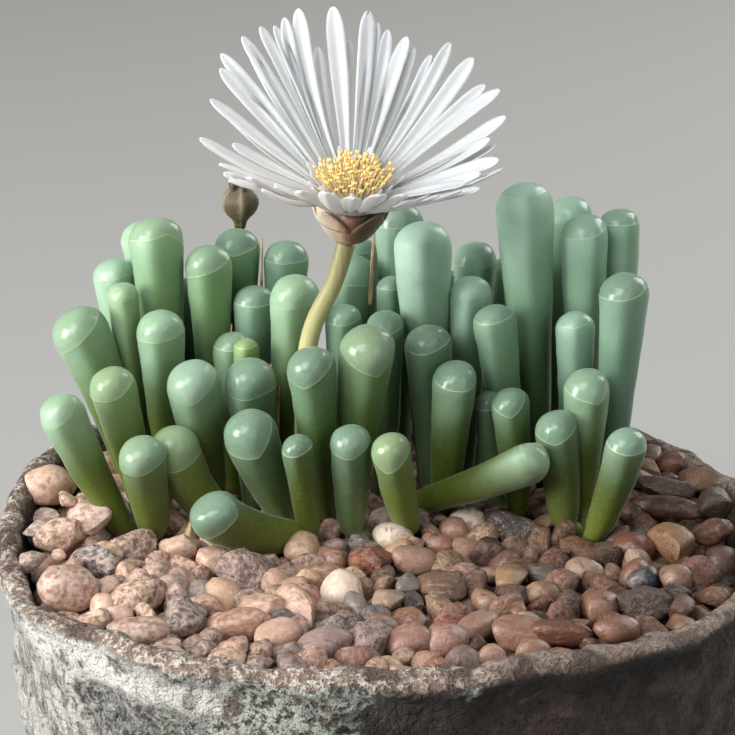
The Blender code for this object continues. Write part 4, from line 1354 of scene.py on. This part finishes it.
def leaf_finish(settings):
    """Fleshy green skin under a pale waxy bloom, with a glassy window inside a pale crease; painted
    shade darkens it low down and painted light brightens it through the bloom.
    """
    material, tree, shader = new_finish("leaf_skin")
    place = coordinates(tree)
    window = spread(tree, attribute(tree, "window"), 0.3, 0.9)
    crease = attribute(tree, "crease")
    along = attribute(tree, "along")
    tone = attribute(tree, "tone")
    bloom = attribute(tree, "bloom")
    face = attribute(tree, "face")
    soft = cloud(tree, place, 6.0)
    fine = cloud(tree, place, 0.6, detail=4.0, roughness=0.6)
    height = coordinate(tree, "Z")
    # The skin runs from the olive foot up to the tall tops partly in its own colour and partly as
    # painted shade, darkest low down among the leaves, with painted light on the tallest tops
    body = ramp(tree, steady(tree, height, 56.0, 106.0), (
        (0.0, settings.foot), (0.2, (0.056, 0.084, 0.009)), (0.42, (0.050, 0.110, 0.018)),
        (0.70, (0.085, 0.200, 0.055)), (1.0, settings.skin),
    ))
    # Painted light: the bloom is laid on thicker high up and on the lit round side than on the shaded
    # flat face, and each leaf's amount partly stands for how brightly it is lit
    upper = spread(tree, along, 0.36, 0.96)
    high = spread(tree, height, 60.0, 78.0, 0.22, 1.0)
    waxy_and_lit = times(tree, upper, spread(tree, soft, 0.25, 0.75, 0.65, 1.0))
    waxy_and_lit = times(tree, waxy_and_lit, high)
    bloom_on_lit_round = plus(tree, times(tree, bloom, 0.65), 0.30)
    bloom_on_shaded_face = plus(tree, times(tree, bloom, 0.50), 0.04)
    off_flat = times(tree, spread(tree, face, 0.0, 1.0, 1.0, 0.0), bloom_on_lit_round)
    kept = plus(tree, off_flat, times(tree, face, bloom_on_shaded_face))
    covered = times(tree, waxy_and_lit, kept, clamp=True)
    body = mixed(tree, times(tree, tone, 0.6, clamp=True), body, (0.130, 0.235, 0.180))
    body = mixed(tree, covered, body, settings.bloom)
    off_face = spread(tree, face, 0.0, 1.0, 0.5, 0.2)
    near_window = times(tree, spread(tree, along, 0.72, 1.0), off_face)
    near_window = times(tree, near_window, spread(tree, bloom, 0.1, 0.6, 1.0, 0.0))
    body = mixed(tree, near_window, body, settings.window)
    yellow = times(tree, tone, -0.60, clamp=True)
    body = mixed(tree, yellow, body, (0.23, 0.30, 0.035))
    body = over(tree, body, (0.36, 0.48, 0.33), fine, 0.45, 0.75, 0.10)
    net = cells(tree, place, 0.8, "DISTANCE_TO_EDGE")
    glass = mixed(tree, spread(tree, net, 0.0, 0.15, 0.16, 0.0), settings.window, (0.34, 0.45, 0.36))
    glass = over(tree, glass, (0.105, 0.185, 0.105), soft, 0.4, 0.65, 0.4)
    glass = mixed(tree, times(tree, bloom, 0.55), glass, settings.bloom)
    glass = mixed(tree, yellow, glass, (0.36, 0.42, 0.085))
    glass = mixed(tree, spread(tree, bloom, 0.2, 0.85, 0.1, 0.85), glass, body)
    colour = mixed(tree, window, body, glass)
    clear = spread(tree, bloom, 0.3, 1.0, 0.72, 0.12)
    line = times(tree, spread(tree, crease, 0.10, 0.85), clear)
    colour = mixed(tree, line, colour, (0.47, 0.58, 0.36))
    spots = cells(tree, place, 9.0)
    freckles = times(tree, spread(tree, spots, 0.050, 0.028), spread(tree, fine, 0.4, 0.6))
    colour = mixed(tree, freckles, colour, (0.09, 0.07, 0.03))
    tree.links.new(colour, shader.inputs["Base Color"])
    dulled = times(tree, bloom, 0.10)
    gloss = plus(tree, spread(tree, window, 0.0, 1.0, 0.40, 0.17), dulled)
    tree.links.new(gloss, shader.inputs["Roughness"])
    soften(shader, 0.35, 0.0022, (0.55, 1.0, 0.30))
    shader.inputs["Sheen Weight"].default_value = 0.32
    shader.inputs["Sheen Roughness"].default_value = 0.30
    shader.inputs["Sheen Tint"].default_value = (0.80, 1.0, 0.88, 1.0)
    shader.inputs["Specular IOR Level"].default_value = 0.42
    bump(tree, shader, fine, 0.03)
    return material


class BABYTOES_OT_leaves(bpy.types.Operator):
    """Heads of club-shaped leaves with windowed tips"""
    bl_idname = "babytoes.leaves"
    bl_label = "Leaves"

    def execute(self, context):
        settings = context.scene.babytoes_leaves
        finish = leaf_finish(settings)
        for name, (root, leaves) in HEADS.items():
            shape = Shape("window", "crease", "along", "face", "tone", "bloom")
            for leaf in leaves:
                add_leaf(shape, root, leaf, settings.sides, settings.unevenness / MM)
            rings = []
            for radius, up in ROOT_OUTLINE:
                shift = Vector((*root, CROWN_LEVEL + up))
                rings.append([point + shift for point in circle(radius, 0, 16)])
            shape.add_rings(rings, tone=-0.4)
            piece = shape.build("leaves_" + name, finish)
            finish_piece(piece, "leaf", "toes_" + name)
        return {"FINISHED"}


# Dry sheaths


def sheath_finish():
    """Straw-coloured to brown paper with fine fibres."""
    material, tree, shader = new_finish("dry_sheath", roughness=0.7)
    place = coordinates(tree)
    fibres = cloud(tree, coordinates(tree, (0.5, 0.5, 6.0)), 1.0, detail=3.0)
    patches = cloud(tree, place, 3.0)
    colour = ramp(tree, patches, (
        (0.3, (0.50, 0.45, 0.28)), (0.5, (0.42, 0.33, 0.18)), (0.72, (0.22, 0.13, 0.06)),
    ))
    colour = over(tree, colour, (0.46, 0.40, 0.25), fibres, 0.5, 0.7, 0.5)
    tree.links.new(colour, shader.inputs["Base Color"])
    soften(shader, 0.2, 0.001)
    bump(tree, shader, fibres, 0.12)
    return material


class BABYTOES_OT_sheaths(bpy.types.Operator):
    """Dry papery remains between the leaves"""
    bl_idname = "babytoes.sheaths"
    bl_label = "Dry sheaths"

    def execute(self, context):
        shape = Shape()
        steps, columns = 10, 6
        for number, (foot, tip, width) in enumerate(SHEATHS):
            foot, tip = Vector(foot), Vector(tip)
            along = (tip - foot).normalized()
            front, across = axes_about(along, Vector((0, -1, 0)))
            rings = []
            for step in range(steps):
                share = step / (steps - 1)
                half = width / 2 * (1 - 0.75 * share**1.5)
                centre = foot.lerp(tip, share) + front * 0.6 * math.sin(3 * share + number)
                points = []
                for column in range(columns):
                    side = 2 * column / (columns - 1) - 1
                    crimp = 0.35 * rough((side * 2, share * 6, number * 7), 1.0)
                    cup = front * (-0.5 * width / 2 * side * side + crimp)
                    points.append(centre + across * side * half + cup)
                rings.append(strip_ring(points, [front * SHEATH_HALF_THICKNESS] * columns))
            shape.add_rings(rings)
        finish_piece(shape.build("dry_sheaths", sheath_finish()), "leaf")
        return {"FINISHED"}


# Flower


class FlowerSettings(bpy.types.PropertyGroup):
    petal_thickness: FloatProperty(
        name="Petal thickness", description="Thickness of a petal", default=0.00032, unit="LENGTH",
    )
    stamen_count: IntProperty(name="Stamens", description="Number of stamens", default=150, min=10)
    stalk_radius: FloatProperty(
        name="Stalk radius", description="Radius of the stalk", default=0.00150, unit="LENGTH",
    )
    seed: IntProperty(name="Seed", description="Draw of petals and stamens", default=5)


def flower_frame():
    """Place and tilt of the flower: its axis leans towards the picture side and a little to +X."""
    tilt = Matrix.Rotation(math.radians(FLOWER_TILT), 4, "X")
    lean = Matrix.Rotation(math.radians(FLOWER_LEAN), 4, "Y")
    return Matrix.Translation(FLOWER_FOOT) @ lean @ tilt


def petal_towards(x, y, rise, behind):
    """Turn and length of a petal of that rise whose tip shows at a pixel of the photograph."""
    start, along = sight_line(x, y)
    into = flower_frame().inverted()
    start = into @ start
    along = into.to_3x3() @ along
    slope = 1 / math.tan(math.radians(rise))
    reach = PETAL_ROOT + (start.z - PETAL_LEVEL) * slope
    gain = along.z * slope
    square = along.x**2 + along.y**2 - gain**2
    linear = 2 * (start.x * along.x + start.y * along.y - reach * gain)
    constant = start.x**2 + start.y**2 - reach**2
    root = math.sqrt(max(0.0, linear**2 - 4 * square * constant))
    distances = sorted(((-linear - root) / (2 * square), (-linear + root) / (2 * square)))
    distances = [
        d for d in distances if PETAL_ROOT + (start.z + d * along.z - PETAL_LEVEL) * slope > 0
    ]
    tip = start + along * (distances[-1] if behind else distances[0])
    length = (math.hypot(tip.x, tip.y) - PETAL_ROOT) / math.cos(math.radians(rise))
    return math.degrees(math.atan2(tip.y, tip.x)), length


def add_petal(shape, turn, rise, length, width, thickness, draw, root_level=PETAL_LEVEL, roll=0.0):
    """Adds one thin petal: grooved, widest past its middle, with a blunt or notched tip.

    The roll turns the petal's face towards the picture side.
    """
    turn, rise = math.radians(turn), math.radians(rise)
    outward = heading(turn)
    across = Vector((-math.sin(turn), math.cos(turn), 0))
    along = outward * math.cos(rise) + upwards(math.sin(rise))
    up = along.cross(across)
    picture_side = Vector((0, -0.97, 0.24))
    up = (up + roll * (picture_side - along * along.dot(picture_side))).normalized()
    across = up.cross(along)
    root = outward * PETAL_ROOT + upwards(root_level)
    belly = draw.uniform(0.02, 0.07) * length
    sway = draw.uniform(-0.035, 0.035) * length
    twist = draw.uniform(-0.35, 0.35)
    notch = draw.choice((0.0, 0.0, 0.0, 0.0, 0.7)) * width * 0.5
    tip_part = 0.10 + 0.75 * width / length
    place = flower_frame()
    steps, columns = 20, 7
    rings, shares = [], []
    for step in range(steps):
        share = 1 - (1 - step / (steps - 1)) ** 1.6
        widen = 0.42 + 0.62 * ease(share, 0.0, 0.72)
        tip_share = max(0.0, (share - 1 + tip_part) / tip_part)
        widen *= math.sqrt(max(0.02, 1 - tip_share**2.2))
        bow = math.sin(math.pi * share)
        centre = root + along * length * share - up * belly * bow + across * sway * bow
        tilt = twist * share
        side_way = across * math.cos(tilt) + up * math.sin(tilt)
        lift_way = up * math.cos(tilt) - across * math.sin(tilt)
        points, offsets = [], []
        for column in range(columns):
            side = 2 * column / (columns - 1) - 1
            groove = 0.20 * width * side * side - 0.04 * width * math.cos(math.pi * side * 2)
            groove *= 1 - 0.6 * tip_share
            back = notch * tip_share * (1 - abs(side)) ** 1.5
            point = centre + side_way * side * width / 2 * widen + lift_way * groove - along * back
            points.append(point)
            edge = 1.0 - 0.75 * side * side
            offsets.append(lift_way * thickness * edge / 2)
        rings.append([place @ point for point in strip_ring(points, offsets)])
        shares += [share] * (2 * columns)
    side_light = max(0.0, -math.cos(turn)) * max(0.0, 0.35 - math.sin(turn))
    shape.add_rings(rings, outwards=shares, blush=min(1.0, side_light * 1.1))


def petal_finish():
    """White, bluish in patches and greyed to the right by painted shade, with a faint blush on the side
    rows.
    """
    material, tree, shader = new_finish("petal", roughness=0.5)
    outwards = attribute(tree, "outwards")
    blush = attribute(tree, "blush")
    place = coordinates(tree)
    soft = cloud(tree, place, 4.0)
    colour = ramp(tree, outwards, (
        (0.0, (0.70, 0.67, 0.52)), (0.16, (0.77, 0.77, 0.74)), (1.0, (0.78, 0.79, 0.785)),
    ))
    colour = over(tree, colour, (0.64, 0.69, 0.78), soft, 0.35, 0.7, 0.30)
    # Painted shade greys the petals towards the right
    painted_shade_grey = tinted(tree, colour, (0.66, 0.668, 0.68))
    colour = over(tree, colour, painted_shade_grey, coordinate(tree, "X"), -24.0, 3.0)
    colour = mixed(tree, times(tree, blush, 0.45), colour, (0.66, 0.53, 0.49))
    tree.links.new(colour, shader.inputs["Base Color"])
    soften(shader, 0.6, 0.0018, (1.0, 0.97, 0.93))
    shader.inputs["Sheen Weight"].default_value = 0.15
    bump(tree, shader, cloud(tree, place, 0.5), 0.03)
    return material


def stamen_finish():
    """Cream filaments and orange-yellow anthers."""
    material, tree, shader = new_finish("stamen", roughness=0.6)
    ripe = attribute(tree, "ripe")
    place = coordinates(tree)
    grains = cloud(tree, place, 0.35, detail=3.0)
    colour = ramp(tree, ripe, (
        (0.0, (0.90, 0.82, 0.55)), (0.55, (0.98, 0.75, 0.36)), (0.85, (0.98, 0.63, 0.20)),
        (1.0, (1.0, 0.80, 0.42)),
    ))
    colour = over(tree, colour, (0.98, 0.80, 0.38), grains, 0.5, 0.7, 0.35)
    tree.links.new(colour, shader.inputs["Base Color"])
    soften(shader, 0.2, 0.0006)
    bump(tree, shader, grains, 0.06)
    return material


def stamen_form(name, draw, finish):
    """One stamen of unit height: a bent filament that ends in a two-lobed anther."""
    shape = Shape("ripe")
    lean = draw.uniform(-0.25, 0.25)
    route = ((0, 0, 0), (lean * 0.3, 0.02, 0.45), (lean, 0.05, 0.86))
    tube(shape, route, (0.055, 0.038, 0.030), 4, 5, ripe=0.25)
    for side in (-1, 1):
        centre = Vector((lean + 0.045 * side, 0.05, 0.92))
        rings = []
        for radius, up in ((0.030, -0.09), (0.060, -0.03), (0.058, 0.05)):
            rings.append([centre + point for point in circle(radius, up, 5)])
        shape.add_rings(rings, end=centre + upwards(0.10), ripe=draw.uniform(0.75, 1.0))
    made = shape.build(name, finish)
    bpy.context.scene.collection.objects.unlink(made)
    made.data.transform(Matrix.Scale(1 / MM, 4))
    return made


def calyx_finish():
    """Rosy flesh, red-brown in the middle, painted pale on the left as light and dark on the right as
    shade, with browner lobes.
    """
    material, tree, shader = new_finish("calyx", roughness=0.5)
    place = coordinates(tree)
    soft = cloud(tree, place, 2.4, detail=4.0)
    # Painted light and shade: the colour runs from pale on the left to dark on the right across X
    across = plus(tree, coordinate(tree, "X"), times(tree, soft, 5.0))
    across = spread(tree, across, -9.6, 2.4)
    colour = ramp(tree, across, (
        (0.10, (0.60, 0.53, 0.42)), (0.40, (0.48, 0.36, 0.27)), (0.56, (0.26, 0.115, 0.075)),
        (0.78, (0.085, 0.062, 0.032)),
    ))
    lobe = attribute(tree, "lobe")
    colour = over(tree, colour, (0.30, 0.17, 0.11), lobe, 0.5, 1.0, 0.3)
    tree.links.new(colour, shader.inputs["Base Color"])
    soften(shader, 0.2, 0.001)
    bump(tree, shader, soft, 0.2)
    return material


def stalk_finish():
    """Streaked yellow-green, darker at the foot and under the flower."""
    material, tree, shader = new_finish("stalk", roughness=0.42)
    place = coordinates(tree, (0.6, 0.6, 9.0))
    streaks = cloud(tree, place, 1.0, detail=3.0)
    colour = ramp(tree, spread(tree, coordinate(tree, "Z"), 58.0, 101.0), (
        (0.0, (0.28, 0.30, 0.08)), (0.55, (0.58, 0.55, 0.27)), (1.0, (0.25, 0.228, 0.100)),
    ))
    colour = over(tree, colour, (0.44, 0.41, 0.20), streaks, 0.45, 0.7, 0.35)
    tree.links.new(colour, shader.inputs["Base Color"])
    soften(shader, 0.25, 0.0012, (1.0, 0.9, 0.4))
    bump(tree, shader, streaks, 0.08)
    return material


def make_flower_stalk(thick):
    """Stalk of the flower, for its usual radius."""
    stalk = Shape()
    tube(stalk, STALK_ROUTE, (thick * 1.05, thick, thick * 0.97, thick * 0.9, thick), 20, 36)
    finish_piece(stalk.build("stalk_of_flower", stalk_finish()), "stalk", "flower_stalk")


def add_lobe(cup, number, place):
    """Adds one pointed lobe of the calyx, pressed against the petals."""
    turn = math.radians(360 / CALYX_LOBES * number + 20)
    outward = heading(turn)
    across = Vector((-math.sin(turn), math.cos(turn), 0))
    steps, columns = 8, 7
    rings, shares = [], []
    for step in range(steps):
        share = step / (steps - 1)
        reach = 4.9 + 1.9 * share
        height = 3.6 + 3.9 * share
        half = 3.0 * (1 - share**1.6) + 0.15
        points = []
        for column in range(columns):
            side = 2 * column / (columns - 1) - 1
            curl = -0.9 * side * side * (1 - share)
            points.append(outward * (reach + curl) + across * side * half + upwards(height))
        ring = strip_ring(points, [outward * LOBE_HALF_THICKNESS] * columns)
        rings.append([place @ point for point in ring])
        shares += [share] * (2 * columns)
    cup.add_rings(rings, lobe=shares)


def make_calyx(place):
    """Fleshy cup under the petals, with its lobes."""
    cup = Shape("lobe")
    rings = []
    for radius, up in CALYX_OUTLINE:
        ring = circle(radius, up, 60)
        for point in ring:
            wave = math.cos(CALYX_LOBES * math.atan2(point.y, point.x) + 0.7)
            point.xy = point.xy * (1 + 0.035 * wave * ease(up, 0, 4))
        rings.append([place @ point for point in ring])
    cup.add_rings(rings)
    for number in range(CALYX_LOBES):
        add_lobe(cup, number, place)
    finish_piece(cup.build("calyx_cup", calyx_finish()), "calyx", "calyx")


def make_petals(thickness, place, draw):
    """Petals of the known tips, those that point at the viewer, the short inner ones and the hub."""
    petals = Shape("outwards", "blush")
    for tips, behind in ((PETAL_TIPS, True), (FRONT_TIPS, False)):
        for x, y, rise, width in tips:
            turn, length = petal_towards(x, y, rise, behind)
            add_petal(petals, turn, rise, length, width, thickness, draw, roll=0.7)
    for turn, rise, length, width in OTHER_PETALS:
        add_petal(petals, turn, rise, length, width, thickness, draw, PETAL_LEVEL - 0.5)
    for number in range(INNER_PETALS):
        turn = 360 * number / INNER_PETALS + draw.uniform(-8, 8)
        rise = draw.uniform(40, 62)
        length = draw.uniform(2.4, 5.0)
        width = draw.uniform(0.6, 1.2)
        add_petal(petals, turn, rise, length, width, thickness, draw, PETAL_LEVEL + 0.5)
    petals.add_rings([
        [place @ point for point in circle(radius, up, 32)] for radius, up in HUB_OUTLINE
    ])
    finish_piece(petals.build("petal_rows", petal_finish()), "petal", "petals")


def make_stamens(count, place, draw):
    """Dome of stamens, spiralling outwards and leaning more and more."""
    finish = stamen_finish()
    forms = [stamen_form(f"stamen_form_{number}", draw, finish) for number in range(STAMEN_FORMS)]
    spots = []
    for number in range(count):
        share = math.sqrt((number + 0.5) / count)
        angle = math.radians(GOLDEN_ANGLE) * number
        outward = heading(angle)
        lean = math.radians(38) * share + draw.uniform(-0.12, 0.12)
        along = outward * math.sin(lean) + upwards(math.cos(lean))
        foot = outward * 4.2 * share + upwards(STAMEN_LEVEL)
        tall = draw.uniform(2.8, 4.4) * (1.0 - 0.12 * share)
        turn = (place.to_3x3() @ along).to_track_quat("Z", "Y").to_euler()
        spots.append((place @ foot, draw.randrange(STAMEN_FORMS), turn, (tall, tall, tall), {}))
    finish_piece(scatter("stamen_cluster", spots, forms, finish), "stamen", "stamens")


class BABYTOES_OT_flower(bpy.types.Operator):
    """Open flower on its stalk"""
    bl_idname = "babytoes.flower"
    bl_label = "Flower"

    def execute(self, context):
        settings = context.scene.babytoes_flower
        place = flower_frame()
        draw = random.Random(settings.seed)
        make_flower_stalk(settings.stalk_radius / MM)
        make_calyx(place)
        make_petals(settings.petal_thickness / MM, place, draw)
        make_stamens(settings.stamen_count, place, draw)
        return {"FINISHED"}


# Seed capsule


def capsule_finish():
    """Dry olive brown with paler ribs."""
    material, tree, shader = new_finish("seed_capsule", roughness=0.6)
    rib = attribute(tree, "rib")
    grain = cloud(tree, coordinates(tree, (0.5, 0.5, 2.5)), 1.0, detail=4.0)
    colour = ramp(tree, grain, (
        (0.3, (0.070, 0.052, 0.025)), (0.55, (0.125, 0.102, 0.048)), (0.8, (0.20, 0.17, 0.088)),
    ))
    colour = over(tree, colour, (0.28, 0.24, 0.14), rib, 0.5, 1.0, 0.8)
    colour = over(tree, colour, (0.06, 0.04, 0.022), rib, 0.3, 0.0, 0.6)
    tree.links.new(colour, shader.inputs["Base Color"])
    bump(tree, shader, grain, 0.15)
    return material


class BABYTOES_OT_capsule(bpy.types.Operator):
    """Ribbed seed capsule on its stalk"""
    bl_idname = "babytoes.capsule"
    bl_label = "Seed capsule"

    def execute(self, context):
        stalk = Shape()
        tube(stalk, CAPSULE_STALK_ROUTE, (0.95, 0.9, 0.85), 14, 24)
        finish_piece(stalk.build("stalk_of_capsule", stalk_finish()), "stalk", "capsule_stalk")
        pod = Shape("rib")
        foot = Vector(CAPSULE_FOOT)
        rings, ribs = [], []
        for radius, up in CAPSULE_OUTLINE:
            ring = circle(radius, up, 60)
            for point in ring:
                wave = abs(math.cos(CAPSULE_RIBS / 2 * math.atan2(point.y, point.x) + 0.4)) ** 6
                ribs.append(wave)
                point.xy = point.xy * (0.96 + 0.12 * wave * ease(up, 0.2, 2.5))
            rings.append([foot + point for point in ring])
        pod.add_rings(rings, end=foot + upwards(6.8), rib=ribs + [0.0])
        for number in range(CAPSULE_RIBS):
            turn = math.radians(360 / CAPSULE_RIBS * number + 10)
            outward = heading(turn)
            curl = ((1.2, 5.9), (1.5, 7.0), (0.7, 8.0))
            route = [foot + outward * out + upwards(up) for out, up in curl]
            tube(pod, route, (0.55, 0.40, 0.12), 8, 7, end=route[-1] + upwards(0.1))
        finish_piece(pod.build("ribbed_capsule", capsule_finish()), "capsule", "seed_capsule")
        return {"FINISHED"}


# Floor, light and camera


# Square lights, as (name of the power setting, place in metres, size in metres, colour)
LIGHTS = (
    ("key", (-0.73, -0.28, 0.31), 0.38, (1.0, 0.985, 0.96)),
    ("front", (-0.42, -0.50, 0.72), 0.60, (0.97, 0.99, 1.0)),
    ("fill", (0.55, -0.6, 0.45), 0.60, (0.95, 0.97, 1.0)),
    ("rim", (0.52, 0.50, 0.40), 0.45, (1.0, 1.0, 0.97)),
)
FLOOR_HALF = 4000.0
FLOOR_DROP = 0.05


class StageSettings(bpy.types.PropertyGroup):
    floor: FloatVectorProperty(
        name="Floor", description="Colour of the plain floor", size=3, subtype="COLOR",
        default=(0.41, 0.405, 0.39),
    )
    key: FloatProperty(
        name="Key light", description="Power of the light from the left", default=8.4, unit="POWER",
    )
    front: FloatProperty(
        name="Front light", description="Power of the wide light from the front",
        default=7.2, unit="POWER",
    )
    fill: FloatProperty(
        name="Fill light", description="Power of the weak light opposite", default=1.6, unit="POWER",
    )
    rim: FloatProperty(
        name="Rim light", description="Power of the light from behind", default=3.2, unit="POWER",
    )
    surround: FloatProperty(
        name="Surround", description="Strength of the even light from all round", default=0.22,
    )


def add_light(name, place, power, size, colour):
    """A square light that faces the middle of the plant."""
    data = bpy.data.lights.new(name, "AREA")
    data.energy = power
    data.size = size
    data.color = colour
    light = bpy.data.objects.new(name, data)
    light.location = place
    towards = Vector(VIEW_TARGET) * MM - light.location
    light.rotation_euler = towards.to_track_quat("-Z", "Y").to_euler()
    bpy.context.scene.collection.objects.link(light)


class BABYTOES_OT_stage(bpy.types.Operator):
    """Plain floor, soft studio light and the photograph's camera"""
    bl_idname = "babytoes.stage"
    bl_label = "Stage"

    def execute(self, context):
        settings = context.scene.babytoes_stage
        material, _, shader = new_finish("plain_floor", roughness=0.85)
        shader.inputs["Base Color"].default_value = (*settings.floor, 1.0)
        floor = Shape()
        corners = ((-1, -1), (1, -1), (1, 1), (-1, 1))
        points = [(x * FLOOR_HALF, y * FLOOR_HALF, -FLOOR_DROP) for x, y in corners]
        floor.add(points, [(0, 1, 2, 3)])
        floor.build("floor", material)

        world = bpy.data.worlds.new("studio")
        world.use_nodes = True
        glow = world.node_tree.nodes["Background"]
        glow.inputs["Color"].default_value = (0.93, 0.96, 1.0, 1.0)
        glow.inputs["Strength"].default_value = settings.surround
        context.scene.world = world
        for name, place, size, colour in LIGHTS:
            add_light(name, place, getattr(settings, name), size, colour)

        data = bpy.data.cameras.new("camera")
        data.lens = LENS
        data.sensor_width = SENSOR
        camera = bpy.data.objects.new("camera", data)
        camera.location = camera_axes()[0] * MM
        camera.rotation_euler = (math.radians(90 - VIEW_SLOPE), 0, 0)
        context.scene.collection.objects.link(camera)
        context.scene.camera = camera
        context.scene.view_settings.view_transform = "Standard"
        return {"FINISHED"}


class BABYTOES_PT_panel(bpy.types.Panel):
    """Lists the pieces of the plant and their settings"""
    bl_idname = "BABYTOES_PT_panel"
    bl_label = "Baby Toes"
    bl_space_type = "VIEW_3D"
    bl_region_type = "UI"
    bl_category = "Baby Toes"

    def draw(self, context):
        for operator, group in PIECES:
            box = self.layout.box()
            box.operator(operator)
            if group is None:
                continue
            settings = getattr(context.scene, group)
            for name in settings.__annotations__:
                box.prop(settings, name)


PIECES = (
    ("babytoes.stage", "babytoes_stage"),
    ("babytoes.bowl", "babytoes_bowl"),
    ("babytoes.gravel", "babytoes_gravel"),
    ("babytoes.leaves", "babytoes_leaves"),
    ("babytoes.sheaths", None),
    ("babytoes.flower", "babytoes_flower"),
    ("babytoes.capsule", None),
)
GROUPS = {
    "babytoes_stage": StageSettings,
    "babytoes_bowl": BowlSettings,
    "babytoes_gravel": GravelSettings,
    "babytoes_leaves": LeafSettings,
    "babytoes_flower": FlowerSettings,
}
CLASSES = (
    *GROUPS.values(),
    BABYTOES_OT_stage,
    BABYTOES_OT_bowl,
    BABYTOES_OT_gravel,
    BABYTOES_OT_leaves,
    BABYTOES_OT_sheaths,
    BABYTOES_OT_flower,
    BABYTOES_OT_capsule,
    BABYTOES_PT_panel,
)


def register():
    """Adds the settings, the operators and the panel to Blender."""
    for made in CLASSES:
        bpy.utils.register_class(made)
    for name, group in GROUPS.items():
        setattr(bpy.types.Scene, name, PointerProperty(type=group))


def unregister():
    """Takes them out again."""
    for name in GROUPS:
        delattr(bpy.types.Scene, name)
    for made in reversed(CLASSES):
        bpy.utils.unregister_class(made)


def main():
    """Builds the whole scene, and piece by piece."""
    register()
    bpy.ops.babytoes.stage()
    bpy.ops.babytoes.bowl()
    bpy.ops.babytoes.gravel()
    bpy.ops.babytoes.leaves()
    bpy.ops.babytoes.sheaths()
    bpy.ops.babytoes.flower()
    bpy.ops.babytoes.capsule()


if __name__ == "__main__":
    main()
